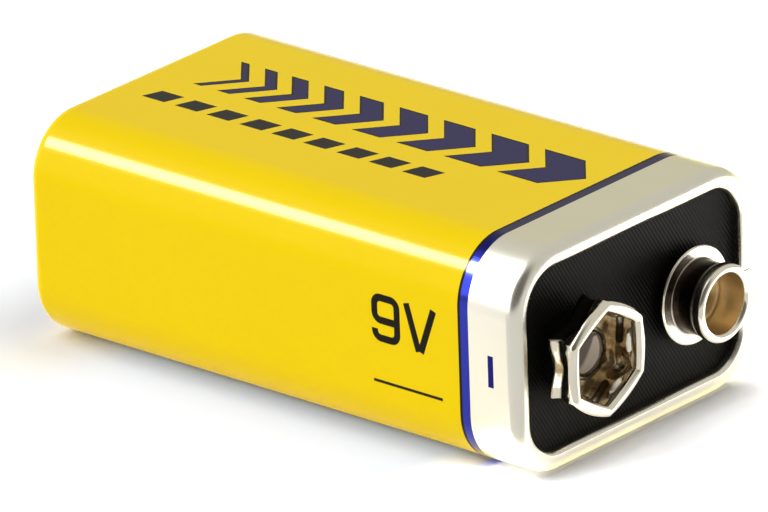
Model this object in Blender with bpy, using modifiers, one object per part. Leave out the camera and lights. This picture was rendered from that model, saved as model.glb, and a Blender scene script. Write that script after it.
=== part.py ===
"""Nine volt battery: six flat zinc-carbon cells stacked in a folded tinplate jacket.

Units are metres and +Z is up. The battery lies on its broad face with its snap terminals at +X.
The origin is the centre of the footprint, on the surface that the battery lies on.
"""

import math

import bmesh
import bpy
from mathutils import Matrix, Vector

MM = 0.001

# Cells. Every size across the battery is built outwards from these.
CELL_COUNT = 6
CELL_WIDTH = 23.25 * MM
CELL_DEPTH = 14.5 * MM
CELL_HEIGHT = 6.3 * MM
ZINC_THICKNESS = 0.6 * MM
SEPARATOR_THICKNESS = 0.4 * MM
WRAP_WALL = 0.3 * MM
WRAP_LIP = 1.6 * MM

# Stack sleeve, liner, cards and boards
SLEEVE_WALL = 0.25 * MM
LINER_WALL = 0.35 * MM
TOP_CARD_THICKNESS = 0.5 * MM
BASE_PAD_THICKNESS = 1.12 * MM
BASE_BOARD_THICKNESS = 1.0 * MM
TERMINAL_BOARD_THICKNESS = 1.5 * MM
STUD_BOSS_HEIGHT = 0.58 * MM
STUD_BOSS_RADIUS = 3.1 * MM
SOCKET_BOSS_HEIGHT = 1.08 * MM
SOCKET_BOSS_RADIUS = 3.0 * MM

# Contact strips and tape
STRIP_THICKNESS = 0.2 * MM
STRIP_WIDTH = 5.0 * MM
STRIP_BEND = 0.5 * MM
STRIP_TAB = 2.9 * MM
POSITIVE_FOLD_MARGIN = 1.525 * MM
POSITIVE_FOOT = 7.0 * MM
NEGATIVE_FOOT = 8.0 * MM
TAPE_THICKNESS = 0.2 * MM
TAPE_WIDTH = 7.2 * MM

# Jacket: one folded sheet with both ends rolled over the boards
SHEET = 0.3 * MM
CORNER_RADIUS = 4.5 * MM
RIM_BEND = 0.9 * MM
BASE_BEND = 1.0 * MM
LIP_BEND = 0.4 * MM
LIP_LAND = 0.2 * MM
TERMINAL_RECESS = 0.78 * MM
BASE_RECESS = 0.8 * MM
LAP_WIDTH = 2.2 * MM
LAP_RAMP = 0.35 * MM
LAP_GROOVE = 0.1 * MM
SEAM_DROP = 0.15 * MM
BARE_BAND = 4.33 * MM
STRIPE_WIDTH = 0.95 * MM

# Snap terminals
TERMINAL_SPACING = 12.7 * MM
TERMINAL_DROP = 0.15 * MM
STUD_REACH = 2.95 * MM
STUD_FLANGE_RADIUS = 3.66 * MM
STUD_NECK_RADIUS = 2.7 * MM
STUD_HEAD_RADIUS = 2.88 * MM
STUD_MOUTH_RADIUS = 2.2 * MM
STUD_WALL = 0.3 * MM
STUD_HEAD_SHARE = 0.72
SOCKET_FLATS = 6
SOCKET_REACH = 2.85 * MM
SOCKET_RIM_RADIUS = 4.38 * MM
SOCKET_WAIST_RADIUS = 4.16 * MM
SOCKET_RIM_HEIGHT = 0.95 * MM
SOCKET_RIM_WIDTH = 0.85 * MM
SOCKET_RIM_BULGE = 0.5
SOCKET_WALL = 0.34 * MM
SOCKET_DENT = 0.1
RIVET_SHANK_RADIUS = 1.2 * MM
RIVET_BORE_RADIUS = 0.75 * MM
RIVET_HEAD_RADIUS = 1.95 * MM
RIVET_HEAD_THICKNESS = 0.25 * MM
RIVET_DOME_HEIGHT = 0.6 * MM
CLINCH_RADIUS = 1.9 * MM
CLINCH_THICKNESS = 0.25 * MM

# Clearances
FIT = 0.1 * MM
RIVET_FIT = 0.05 * MM
BOARD_FIT = 0.15 * MM
LAP_FIT = 0.05 * MM

# Facets
JACKET_CORNER_STEPS = 6
INNER_CORNER_STEPS = 4
BEND_STEPS = 4
TURN_STEPS = 32
HEX_STEPS = 24

# Sizes that follow: across the battery
SLEEVE_WIDTH = CELL_WIDTH + 2 * (FIT + SLEEVE_WALL)
SLEEVE_DEPTH = CELL_DEPTH + 2 * (FIT + SLEEVE_WALL)
STRIP_SPACE = STRIP_THICKNESS + TAPE_THICKNESS + 2 * FIT
LINER_INNER_WIDTH = SLEEVE_WIDTH + STRIP_SPACE + 2 * FIT
LINER_INNER_DEPTH = SLEEVE_DEPTH + 2 * FIT
JACKET_WIDTH = LINER_INNER_WIDTH + 2 * (LINER_WALL + FIT + SHEET)
JACKET_DEPTH = LINER_INNER_DEPTH + 2 * (LINER_WALL + FIT + SHEET)
STACK_Y = STRIP_SPACE / 2
POSITIVE_FOLD_Y = STACK_Y + SLEEVE_WIDTH / 2 - POSITIVE_FOLD_MARGIN
MID_Z = JACKET_DEPTH / 2
LINER_RADIUS = CORNER_RADIUS - SHEET - FIT
SLEEVE_RADIUS = LINER_RADIUS - LINER_WALL - FIT
WRAP_RADIUS = SLEEVE_RADIUS - SLEEVE_WALL - FIT
FILL_RADIUS = WRAP_RADIUS - WRAP_WALL - FIT
FILL_WIDTH = CELL_WIDTH - 2 * (WRAP_WALL + FIT)
FILL_DEPTH = CELL_DEPTH - 2 * (WRAP_WALL + FIT)
BOARD_WIDTH = JACKET_WIDTH - 2 * (SHEET + BOARD_FIT)
BOARD_DEPTH = JACKET_DEPTH - 2 * (SHEET + BOARD_FIT)
BOARD_RADIUS = CORNER_RADIUS - SHEET - BOARD_FIT

# Sizes that follow: the jacket's lapped seam, from the outer edge to the tucked one
LAP_EDGE_Z = MID_Z - SEAM_DROP - LAP_GROOVE / 2
LAP_STEP_Z = LAP_EDGE_Z + LAP_GROOVE
LAP_RAMP_Z = LAP_STEP_Z + LAP_RAMP
LAP_TUCK_Z = LAP_EDGE_Z - LAP_WIDTH

# Sizes that follow: heights above the base rim, from the base up to the terminals
BASE_BOARD_AT = BASE_RECESS
BASE_PAD_AT = BASE_BOARD_AT + BASE_BOARD_THICKNESS + FIT
NEGATIVE_FOOT_AT = BASE_PAD_AT + BASE_PAD_THICKNESS + FIT
STACK_AT = NEGATIVE_FOOT_AT + STRIP_THICKNESS + FIT
STACK_HEIGHT = CELL_COUNT * CELL_HEIGHT + (CELL_COUNT - 1) * FIT
POSITIVE_FOOT_AT = STACK_AT + STACK_HEIGHT + FIT
TOP_CARD_AT = POSITIVE_FOOT_AT + STRIP_THICKNESS + FIT
CLINCH_AT = TOP_CARD_AT + TOP_CARD_THICKNESS + FIT
TAB_AT = CLINCH_AT + CLINCH_THICKNESS + RIVET_FIT
TERMINAL_BOARD_AT = TAB_AT + STRIP_THICKNESS + RIVET_FIT
BOARD_FACE_AT = TERMINAL_BOARD_AT + TERMINAL_BOARD_THICKNESS
JACKET_LENGTH = BOARD_FACE_AT + TERMINAL_RECESS
OVERALL_LENGTH = JACKET_LENGTH + max(STUD_REACH, SOCKET_REACH)
X_BASE = -OVERALL_LENGTH / 2

# Sizes that follow: terminals
STUD_Y = TERMINAL_SPACING / 2
SOCKET_Y = -TERMINAL_SPACING / 2
TERMINAL_Z = MID_Z - TERMINAL_DROP
STUD_FOOT_AT = BOARD_FACE_AT + STUD_BOSS_HEIGHT + RIVET_FIT
SOCKET_FOOT_AT = BOARD_FACE_AT + SOCKET_BOSS_HEIGHT + RIVET_FIT
STUD_HEIGHT = JACKET_LENGTH + STUD_REACH - STUD_FOOT_AT
SOCKET_HEIGHT = JACKET_LENGTH + SOCKET_REACH - SOCKET_FOOT_AT
RIVET_HOLE_RADIUS = RIVET_SHANK_RADIUS + FIT
CUTTER_OVERRUN = 1.0 * MM
STRIP_CUTTER_OVERRUN = CUTTER_OVERRUN / 4


def clear_scene():
    """Removes the objects and meshes that the scene starts with."""
    for obj in list(bpy.data.objects):
        bpy.data.objects.remove(obj, do_unlink=True)


def make_material(name, colour, roughness, metallic=0.0):
    """A Principled BSDF of one colour."""
    material = bpy.data.materials.new(name)
    material.use_nodes = True
    shader = material.node_tree.nodes["Principled BSDF"]
    shader.inputs["Base Color"].default_value = (*colour, 1.0)
    shader.inputs["Roughness"].default_value = roughness
    shader.inputs["Metallic"].default_value = metallic
    return material


def make_collection(name):
    """A collection in the scene."""
    collection = bpy.data.collections.new(name)
    bpy.context.scene.collection.children.link(collection)
    return collection


def add_object(name, bm, collection, materials, location=(0, 0, 0)):
    """An object from a bmesh, which is freed, with its materials in slots."""
    mesh = bpy.data.meshes.new(name)
    bm.to_mesh(mesh)
    bm.free()
    for material in materials:
        mesh.materials.append(material)
    obj = bpy.data.objects.new(name, mesh)
    obj.location = location
    collection.objects.link(obj)
    return obj


def smooth(obj, angle=35):
    """Smooth shading that keeps the edges sharper than the angle in degrees."""
    obj.data.shade_smooth()
    obj.data.set_sharp_from_angle(angle=math.radians(angle))


def solidify(obj, thickness):
    """Gives an open surface its wall, on the side away from its normals."""
    modifier = obj.modifiers.new("Wall", "SOLIDIFY")
    modifier.thickness = thickness
    modifier.offset = -1
    modifier.use_even_offset = True
    modifier.use_quality_normals = True
    return modifier


def boolean(obj, other, operation):
    """Cuts or joins another object, which becomes a hidden helper."""
    other.hide_render = True
    other.display_type = "WIRE"
    modifier = obj.modifiers.new(other.name, "BOOLEAN")
    modifier.operation = operation
    modifier.solver = "EXACT"
    modifier.object = other
    return modifier


def ends_of(bm, side):
    """The faces that look straight along X, towards +X or -X."""
    return [face for face in bm.faces if face.normal.x * side > 0.99]


def block_mesh(thickness, width, depth, radius, steps):
    """A box with its thickness along X and its four edges along X rounded."""
    bm = bmesh.new()
    bmesh.ops.create_cube(bm, size=1.0, matrix=Matrix.Diagonal((thickness, width, depth, 1)))
    along = [edge for edge in bm.edges if abs((edge.verts[0].co - edge.verts[1].co).x) > thickness / 2]
    bmesh.ops.bevel(bm, geom=along, offset=radius, segments=steps, profile=0.5, affect="EDGES")
    bmesh.ops.recalc_face_normals(bm, faces=bm.faces)
    return bm


def rounded_block(name, start, thickness, width, depth, radius, y, parts, material):
    """A card, plate or board that starts at a height above the base rim."""
    bm = block_mesh(thickness, width, depth, radius, INNER_CORNER_STEPS)
    return add_object(name, bm, parts, [material], (X_BASE + start + thickness / 2, y, MID_Z))


def cylinder(name, start, end, y, radius, collection, materials=()):
    """A cylinder along X, on a terminal's axis, between two heights above the base rim."""
    bm = bmesh.new()
    bmesh.ops.create_cone(
        bm, cap_ends=True, segments=TURN_STEPS, radius1=radius, radius2=radius, depth=end - start
    )
    bmesh.ops.rotate(bm, verts=bm.verts, matrix=Matrix.Rotation(math.radians(90), 3, "Y"))
    return add_object(name, bm, collection, materials, (X_BASE + (start + end) / 2, y, TERMINAL_Z))


def tube(name, start, length, width, depth, radius, wall, y, parts, material):
    """A plain sleeve of rounded rectangular section, open at both ends."""
    bm = block_mesh(length, width, depth, radius, INNER_CORNER_STEPS)
    bmesh.ops.delete(bm, geom=ends_of(bm, 1) + ends_of(bm, -1), context="FACES")
    obj = add_object(name, bm, parts, [material], (X_BASE + start + length / 2, y, MID_Z))
    solidify(obj, wall)
    smooth(obj)
    return obj


def arc(centre, radius, start, end, steps):
    """Points on an arc, as pairs, with the angles in degrees."""
    turn = [math.radians(start + (end - start) * i / steps) for i in range(steps + 1)]
    return [(centre[0] + radius * math.cos(a), centre[1] + radius * math.sin(a)) for a in turn]


def jacket_profile():
    """The sheet's outer line from the base lip's edge to the terminal lip's edge, and the lap's ends.

    Each point is a pair: how far in from the side, and the height above the base rim.
    """
    base_edge = BASE_RECESS - LAP_FIT
    rim_edge = JACKET_LENGTH - TERMINAL_RECESS + LAP_FIT
    base_lip = min(LIP_BEND, base_edge)
    rim_lip = min(LIP_BEND, JACKET_LENGTH - rim_edge)
    base_inset = BASE_BEND + LIP_LAND
    rim_inset = RIM_BEND + LIP_LAND
    lap_start = BASE_PAD_AT
    lap_end = TERMINAL_BOARD_AT - FIT
    stripe_end = JACKET_LENGTH - BARE_BAND
    points = [(base_inset + base_lip, base_edge)]
    points += arc((base_inset, base_lip), base_lip, 0, -90, BEND_STEPS)
    points += arc((BASE_BEND, BASE_BEND), BASE_BEND, 270, 180, BEND_STEPS)
    points += [(0, lap_start), (0, stripe_end - STRIPE_WIDTH), (0, stripe_end), (0, lap_end)]
    points += arc((RIM_BEND, JACKET_LENGTH - RIM_BEND), RIM_BEND, 180, 90, BEND_STEPS)
    points += arc((rim_inset, JACKET_LENGTH - rim_lip), rim_lip, 90, 0, BEND_STEPS)
    points += [(rim_inset + rim_lip, rim_edge)]
    return points, lap_start, lap_end


def section_ring(inset, start_z, end_z):
    """The jacket's section from start_z on its +Y side, over the top, round to end_z below it.

    The points are pairs of Y and Z, and the inset is how far in from the outer face they lie.
    """
    half_width = JACKET_WIDTH / 2 - inset
    half_depth = JACKET_DEPTH / 2 - inset
    radius = CORNER_RADIUS - inset
    side = half_width - radius
    top = half_depth - radius
    ring = [(half_width, start_z)]
    for y, z, angle in ((side, top, 0), (-side, top, 90), (-side, -top, 180), (side, -top, 270)):
        ring += arc((y, MID_Z + z), radius, angle, angle + 90, JACKET_CORNER_STEPS)
    ring.append((half_width, end_z))
    return ring


def make_jacket(parts, lacquer, stripe, tin):
    """The tinplate jacket: a folded sheet with a lapped seam on +Y and a rolled lip at each end."""
    profile, lap_start, lap_end = jacket_profile()
    bm = bmesh.new()
    rows = []
    lapped_rows = []
    for inset, height in profile:
        lapped = inset == 0 and lap_start <= height <= lap_end
        ring = section_ring(inset, LAP_RAMP_Z if lapped else LAP_STEP_Z, LAP_EDGE_Z)
        row = [bm.verts.new((X_BASE + height, y, z)) for y, z in ring]
        rows.append(row)
        if lapped:
            lapped_rows.append(row)
    for low, high in zip(rows, rows[1:]):
        for i in range(len(low) - 1):
            face = bm.faces.new((low[i], low[i + 1], high[i + 1], high[i]))
            face.material_index = jacket_field(face.calc_center_median().x - X_BASE)
    add_lap(bm, lapped_rows)
    bmesh.ops.remove_doubles(bm, verts=bm.verts, dist=0.001 * MM)
    jacket = add_object("jacket", bm, parts, [lacquer, stripe, tin])
    solidify(jacket, SHEET)
    smooth(jacket)
    return jacket


def add_lap(bm, lapped_rows):
    """The sheet's tucked edge, which steps in and runs on under the other edge."""
    tucked = JACKET_WIDTH / 2 - SHEET - LAP_FIT
    edge = [row[0] for row in lapped_rows]
    for z in (LAP_STEP_Z, LAP_TUCK_Z):
        inner = [bm.verts.new((vert.co.x, tucked, z)) for vert in edge]
        for i in range(len(edge) - 1):
            face = bm.faces.new((inner[i], edge[i], edge[i + 1], inner[i + 1]))
            face.material_index = jacket_field(face.calc_center_median().x - X_BASE)
        edge = inner


def jacket_field(height):
    """The slot of the finish at a height above the base rim: lacquer, stripe or bare tin."""
    stripe_end = JACKET_LENGTH - BARE_BAND
    if height > stripe_end:
        return 2
    return 1 if height > stripe_end - STRIPE_WIDTH else 0


def make_liner(parts, card):
    """The insulating card wrapped inside the jacket, with its open edges at the jacket's lap."""
    start = BASE_PAD_AT
    end = TERMINAL_BOARD_AT - FIT
    inset = SHEET + FIT
    ring = section_ring(inset, LAP_RAMP_Z + FIT, LAP_TUCK_Z - FIT)
    bm = bmesh.new()
    rows = [[bm.verts.new((X_BASE + x, y, z)) for y, z in ring] for x in (start, end)]
    for i in range(len(ring) - 1):
        bm.faces.new((rows[0][i], rows[0][i + 1], rows[1][i + 1], rows[1][i]))
    bmesh.ops.remove_doubles(bm, verts=bm.verts, dist=0.001 * MM)
    liner = add_object("liner", bm, parts, [card])
    solidify(liner, LINER_WALL)
    smooth(liner)
    return liner


def make_boards(parts, cutters, board, pad, card):
    """The terminal board with its two bosses, the base board and the loose cards."""
    face = rounded_block(
        "terminal_board", TERMINAL_BOARD_AT, TERMINAL_BOARD_THICKNESS, BOARD_WIDTH, BOARD_DEPTH,
        BOARD_RADIUS, 0, parts, board,
    )
    sunk = TERMINAL_BOARD_AT + TERMINAL_BOARD_THICKNESS / 2
    bosses = (
        ("stud_boss", STUD_Y, STUD_BOSS_HEIGHT, STUD_BOSS_RADIUS),
        ("socket_boss", SOCKET_Y, SOCKET_BOSS_HEIGHT, SOCKET_BOSS_RADIUS),
    )
    for name, y, height, radius in bosses:
        boss = cylinder(name, sunk, BOARD_FACE_AT + height, y, radius, cutters, [board])
        boolean(face, boss, "UNION")
        start = TERMINAL_BOARD_AT - CUTTER_OVERRUN
        end = BOARD_FACE_AT + height + CUTTER_OVERRUN
        hole = cylinder(name + "_hole", start, end, y, RIVET_HOLE_RADIUS, cutters)
        boolean(face, hole, "DIFFERENCE")
    rounded_block(
        "base_board", BASE_BOARD_AT, BASE_BOARD_THICKNESS, BOARD_WIDTH, BOARD_DEPTH,
        BOARD_RADIUS, 0, parts, board,
    )
    rounded_block(
        "base_pad", BASE_PAD_AT, BASE_PAD_THICKNESS, SLEEVE_WIDTH, SLEEVE_DEPTH,
        SLEEVE_RADIUS, STACK_Y, parts, pad,
    )
    low_edge = STACK_Y - SLEEVE_WIDTH / 2
    high_edge = POSITIVE_FOLD_Y - STRIP_THICKNESS - FIT
    rounded_block(
        "top_card", TOP_CARD_AT, TOP_CARD_THICKNESS, high_edge - low_edge, SLEEVE_DEPTH,
        SLEEVE_RADIUS, (low_edge + high_edge) / 2, parts, card,
    )


def fold_points(corners, radius):
    """A path through corners, as (x, y) pairs, with each inner corner rounded by an arc."""
    path = [Vector(corners[0])]
    for before, corner, after in zip(corners, corners[1:], corners[2:]):
        here = Vector(corner)
        into = (here - Vector(before)).normalized()
        out = (Vector(after) - here).normalized()
        centre = here + (out - into) * radius
        for i in range(BEND_STEPS + 1):
            turn = math.pi / 2 * i / BEND_STEPS
            path.append(centre - out * radius * math.cos(turn) + into * radius * math.sin(turn))
    path.append(Vector(corners[-1]))
    return path


def folded_strip(name, corners, y, parts, cutters, material):
    """A contact strip: a path in the XY plane drawn out to the strip's width, with a rivet hole."""
    bm = bmesh.new()
    path = fold_points(corners, STRIP_BEND)
    rows = []
    for z in (MID_Z - STRIP_WIDTH / 2, MID_Z + STRIP_WIDTH / 2):
        rows.append([bm.verts.new((X_BASE + p.x, p.y, z)) for p in path])
    for i in range(len(path) - 1):
        bm.faces.new((rows[0][i], rows[0][i + 1], rows[1][i + 1], rows[1][i]))
    strip = add_object(name, bm, parts, [material])
    solidify(strip, STRIP_THICKNESS)
    start = TAB_AT - STRIP_CUTTER_OVERRUN
    end = TAB_AT + STRIP_THICKNESS + STRIP_CUTTER_OVERRUN
    hole = cylinder(name + "_hole", start, end, y, RIVET_HOLE_RADIUS, cutters)
    boolean(strip, hole, "DIFFERENCE")
    return strip


def make_strips(parts, cutters, strip, tape):
    """The two contact strips under the terminal board and the tape over the long one."""
    tab = TAB_AT + STRIP_THICKNESS
    fold = POSITIVE_FOLD_Y
    foot = POSITIVE_FOOT_AT
    positive = [(tab, STUD_Y - STRIP_TAB), (tab, fold), (foot, fold), (foot, fold - POSITIVE_FOOT)]
    folded_strip("positive_strip", positive, STUD_Y, parts, cutters, strip)
    side = STACK_Y - SLEEVE_WIDTH / 2 - FIT - STRIP_THICKNESS
    base = NEGATIVE_FOOT_AT
    negative = [(base, side + NEGATIVE_FOOT), (base, side), (tab, side), (tab, SOCKET_Y + STRIP_TAB)]
    folded_strip("negative_strip", negative, SOCKET_Y, parts, cutters, strip)
    bm = block_mesh(TAPE_THICKNESS, STACK_HEIGHT, TAPE_WIDTH, FIT, 1)
    bmesh.ops.rotate(bm, verts=bm.verts, matrix=Matrix.Rotation(math.radians(90), 3, "Z"))
    place = (X_BASE + STACK_AT + STACK_HEIGHT / 2, side - FIT - TAPE_THICKNESS / 2, MID_Z)
    add_object("strap_tape", bm, parts, [tape], place)


def make_cell(number, parts, zinc, separator, cake, wrap):
    """One flat cell: a zinc plate, a paper separator and a mix cake in an open plastic wrap."""
    start = STACK_AT + (number - 1) * (CELL_HEIGHT + FIT)
    fill = (FILL_WIDTH, FILL_DEPTH, FILL_RADIUS, STACK_Y, parts)
    rounded_block(f"zinc_plate_{number}", start, ZINC_THICKNESS, *fill, zinc)
    paper_at = start + ZINC_THICKNESS + FIT
    rounded_block(f"separator_{number}", paper_at, SEPARATOR_THICKNESS, *fill, separator)
    make_cake(number, paper_at + SEPARATOR_THICKNESS + FIT, start + CELL_HEIGHT, parts, cake)
    bm = block_mesh(CELL_HEIGHT, CELL_WIDTH, CELL_DEPTH, WRAP_RADIUS, INNER_CORNER_STEPS)
    bmesh.ops.delete(bm, geom=ends_of(bm, -1), context="FACES")
    window = ends_of(bm, 1)
    bmesh.ops.inset_region(bm, faces=window, thickness=WRAP_LIP, use_even_offset=True)
    bmesh.ops.delete(bm, geom=window, context="FACES")
    place = (X_BASE + start + CELL_HEIGHT / 2, STACK_Y, MID_Z)
    solidify(add_object(f"cell_wrap_{number}", bm, parts, [wrap], place), WRAP_WALL)


def make_cake(number, start, end, parts, cake):
    """The pressed mix cake, with a land that stands in the wrap's window."""
    shoulder = end - WRAP_WALL - FIT
    bm = block_mesh(shoulder - start, FILL_WIDTH, FILL_DEPTH, FILL_RADIUS, INNER_CORNER_STEPS)
    land = ends_of(bm, 1)
    bmesh.ops.inset_region(bm, faces=land, thickness=WRAP_LIP - WRAP_WALL, use_even_offset=True)
    raised = bmesh.ops.extrude_face_region(bm, geom=land)
    bmesh.ops.delete(bm, geom=land, context="FACES_ONLY")
    moved = [item for item in raised["geom"] if isinstance(item, bmesh.types.BMVert)]
    bmesh.ops.translate(bm, verts=moved, vec=(end - shoulder, 0, 0))
    add_object(f"mix_cake_{number}", bm, parts, [cake], (X_BASE + (start + shoulder) / 2, STACK_Y, MID_Z))


def turned(name, profile, start, y, steps, parts, material):
    """A turned piece: a closed profile of (radius, height) pairs spun about a terminal's axis."""
    bm = bmesh.new()
    verts = [bm.verts.new((height, 0, radius)) for radius, height in profile]
    for i, vert in enumerate(verts):
        bm.edges.new((vert, verts[(i + 1) % len(verts)]))
    bmesh.ops.spin(
        bm, geom=bm.verts[:] + bm.edges[:], cent=(0, 0, 0), axis=(1, 0, 0), angle=math.tau,
        steps=steps, use_merge=True, use_normal_flip=False,
    )
    bmesh.ops.remove_doubles(bm, verts=bm.verts, dist=0.001 * MM)
    bmesh.ops.dissolve_degenerate(bm, edges=bm.edges, dist=0.001 * MM)
    bmesh.ops.recalc_face_normals(bm, faces=bm.faces)
    obj = add_object(name, bm, parts, [material], (X_BASE + start, y, TERMINAL_Z))
    smooth(obj)
    return obj


def stud_profile():
    """The male snap: a flange, a neck that flares to the head, and an open mouth."""
    wall = STUD_WALL
    head_at = STUD_HEIGHT * STUD_HEAD_SHARE
    tip = STUD_HEIGHT
    lip = (STUD_HEAD_RADIUS - STUD_MOUTH_RADIUS) / 2
    crown = STUD_MOUTH_RADIUS + lip
    points = [(RIVET_HOLE_RADIUS, wall), (RIVET_HOLE_RADIUS, 0)]
    points += arc((STUD_FLANGE_RADIUS - wall / 2, wall / 2), wall / 2, -90, 90, BEND_STEPS)
    points += [(STUD_NECK_RADIUS + wall / 2, wall), (STUD_NECK_RADIUS, wall * 1.5)]
    points += [((STUD_NECK_RADIUS + STUD_HEAD_RADIUS) / 2, head_at / 2 + wall)]
    points += [(STUD_HEAD_RADIUS, head_at)]
    points += arc((crown, tip - lip), lip, 0, 180, BEND_STEPS)
    points += [(STUD_HEAD_RADIUS - wall, head_at), (STUD_NECK_RADIUS - wall, wall * 2)]
    points += [(STUD_NECK_RADIUS - wall, wall)]
    return points


def socket_profile():
    """The female snap: a floor, a waisted wall and a rolled rim. Radii reach to the six corners."""
    wall = SOCKET_WALL
    top = SOCKET_HEIGHT
    rim_at = top - SOCKET_RIM_HEIGHT
    mouth = SOCKET_RIM_RADIUS - SOCKET_RIM_WIDTH
    roll = SOCKET_RIM_WIDTH / 2
    points = [(RIVET_HOLE_RADIUS, wall), (RIVET_HOLE_RADIUS, 0), (SOCKET_RIM_RADIUS, 0)]
    points += [(SOCKET_RIM_RADIUS, wall / 3), (SOCKET_WAIST_RADIUS, wall)]
    points += [(SOCKET_WAIST_RADIUS, rim_at), (SOCKET_RIM_RADIUS, rim_at + wall / 3)]
    points += arc((mouth + roll, top - roll), roll, 0, 180, BEND_STEPS)
    points += [(mouth, rim_at + wall), (SOCKET_WAIST_RADIUS - wall, rim_at)]
    points += [(SOCKET_WAIST_RADIUS - wall, wall)]
    return points


def make_hexagonal(obj):
    """Gives the socket's round wall six corners, pressed panels and a rim that bows out between them."""
    sector = math.tau / SOCKET_FLATS
    round_inside = (RIVET_HEAD_RADIUS + FIT, SOCKET_WAIST_RADIUS - SOCKET_WALL)
    rim_at = SOCKET_HEIGHT - SOCKET_RIM_HEIGHT
    mouth = SOCKET_RIM_RADIUS - SOCKET_RIM_WIDTH
    for vert in obj.data.vertices:
        radius = math.hypot(vert.co.y, vert.co.z)
        angle = math.atan2(vert.co.y, vert.co.z)
        off_flat = (angle % sector) - sector / 2
        flat = math.cos(sector / 2) / math.cos(off_flat)
        if vert.co.x < rim_at + SOCKET_WALL / 6:
            flat -= SOCKET_DENT * math.cos(off_flat * SOCKET_FLATS / 2) ** 2
        elif radius > mouth:
            flat += (1 - flat) * SOCKET_RIM_BULGE * (radius - mouth) / SOCKET_RIM_WIDTH
        amount = (radius - round_inside[0]) / (round_inside[1] - round_inside[0])
        factor = 1 + (flat - 1) * min(max(amount, 0.0), 1.0)
        vert.co.y *= factor
        vert.co.z *= factor


def eyelet_profile(foot_at, floor):
    """The hollow rivet that holds the stud: a rolled head, a shank and a clinched end."""
    head = foot_at + floor + RIVET_FIT
    clinch = CLINCH_AT - head
    under = clinch + CLINCH_THICKNESS
    top = RIVET_HEAD_THICKNESS
    return head, [
        (RIVET_BORE_RADIUS, top), (RIVET_BORE_RADIUS, clinch), (CLINCH_RADIUS, clinch),
        (CLINCH_RADIUS, under), (RIVET_SHANK_RADIUS, under), (RIVET_SHANK_RADIUS, 0),
        (RIVET_HEAD_RADIUS, 0), (RIVET_HEAD_RADIUS, top / 2), (RIVET_HEAD_RADIUS - top / 2, top),
    ]


def rivet_profile(foot_at, floor):
    """The rivet that holds the socket: a domed head, and a shank that is hollow from below."""
    head = foot_at + floor + RIVET_FIT
    clinch = CLINCH_AT - head
    under = clinch + CLINCH_THICKNESS
    points = [(0, -RIVET_HEAD_THICKNESS), (RIVET_BORE_RADIUS, -RIVET_HEAD_THICKNESS)]
    points += [(RIVET_BORE_RADIUS, clinch), (CLINCH_RADIUS, clinch), (CLINCH_RADIUS, under)]
    points += [(RIVET_SHANK_RADIUS, under), (RIVET_SHANK_RADIUS, 0)]
    for i in range(BEND_STEPS + 1):
        turn = math.pi / 2 * i / BEND_STEPS
        points.append((RIVET_HEAD_RADIUS * math.cos(turn), RIVET_DOME_HEIGHT * math.sin(turn)))
    return head, points


def make_terminals(parts, nickel, brass):
    """The two snap terminals and the rivets that hold them to the board."""
    turned("positive_stud", stud_profile(), STUD_FOOT_AT, STUD_Y, TURN_STEPS, parts, nickel)
    socket = turned("negative_socket", socket_profile(), SOCKET_FOOT_AT, SOCKET_Y, HEX_STEPS, parts, nickel)
    make_hexagonal(socket)
    head, profile = eyelet_profile(STUD_FOOT_AT, STUD_WALL)
    turned("positive_eyelet", profile, head, STUD_Y, TURN_STEPS, parts, brass)
    head, profile = rivet_profile(SOCKET_FOOT_AT, SOCKET_WALL)
    turned("negative_rivet", profile, head, SOCKET_Y, TURN_STEPS, parts, nickel)


def main():
    clear_scene()
    parts = make_collection("nine_volt_battery")
    cutters = make_collection("cutters")
    lacquer = make_material("yellow_lacquer", (0.89, 0.64, 0.01), 0.3)
    stripe = make_material("blue_stripe", (0.03, 0.025, 0.2), 0.3)
    tin = make_material("tinplate", (0.62, 0.6, 0.53), 0.32, 1.0)
    board = make_material("black_fibre", (0.008, 0.008, 0.007), 0.45)
    nickel = make_material("nickel_plate", (0.78, 0.73, 0.62), 0.18, 1.0)
    brass = make_material("brass", (0.7, 0.49, 0.2), 0.3, 1.0)
    card = make_material("grey_card", (0.42, 0.37, 0.29), 0.85)
    foam = make_material("grey_foam", (0.3, 0.3, 0.31), 0.95)
    film = make_material("clear_film", (0.72, 0.74, 0.73), 0.35)
    tape = make_material("paper_tape", (0.68, 0.6, 0.42), 0.7)
    zinc = make_material("zinc", (0.42, 0.44, 0.46), 0.5, 1.0)
    paper = make_material("separator_paper", (0.74, 0.7, 0.6), 0.9)
    mix = make_material("manganese_mix", (0.02, 0.02, 0.022), 0.9)
    make_jacket(parts, lacquer, stripe, tin)
    make_liner(parts, card)
    tube(
        "stack_sleeve", STACK_AT, STACK_HEIGHT, SLEEVE_WIDTH, SLEEVE_DEPTH, SLEEVE_RADIUS,
        SLEEVE_WALL, STACK_Y, parts, film,
    )
    make_boards(parts, cutters, board, foam, card)
    make_strips(parts, cutters, tin, tape)
    for number in range(1, CELL_COUNT + 1):
        make_cell(number, parts, zinc, paper, mix, film)
    make_terminals(parts, nickel, brass)


main()
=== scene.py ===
"""Looks of the nine volt battery: fine shapes, finishes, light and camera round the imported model.

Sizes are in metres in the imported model's frame: +X points out of the terminal end, +Y towards the
positive stud and +Z up, with the origin in the middle of the face that the battery lies on.
"""

import logging
import math
from contextlib import contextmanager
from dataclasses import dataclass
from enum import Enum
from functools import cached_property
from typing import Callable, ClassVar, Iterator, Sequence

import bmesh
import bpy
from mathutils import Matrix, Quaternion, Vector


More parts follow.
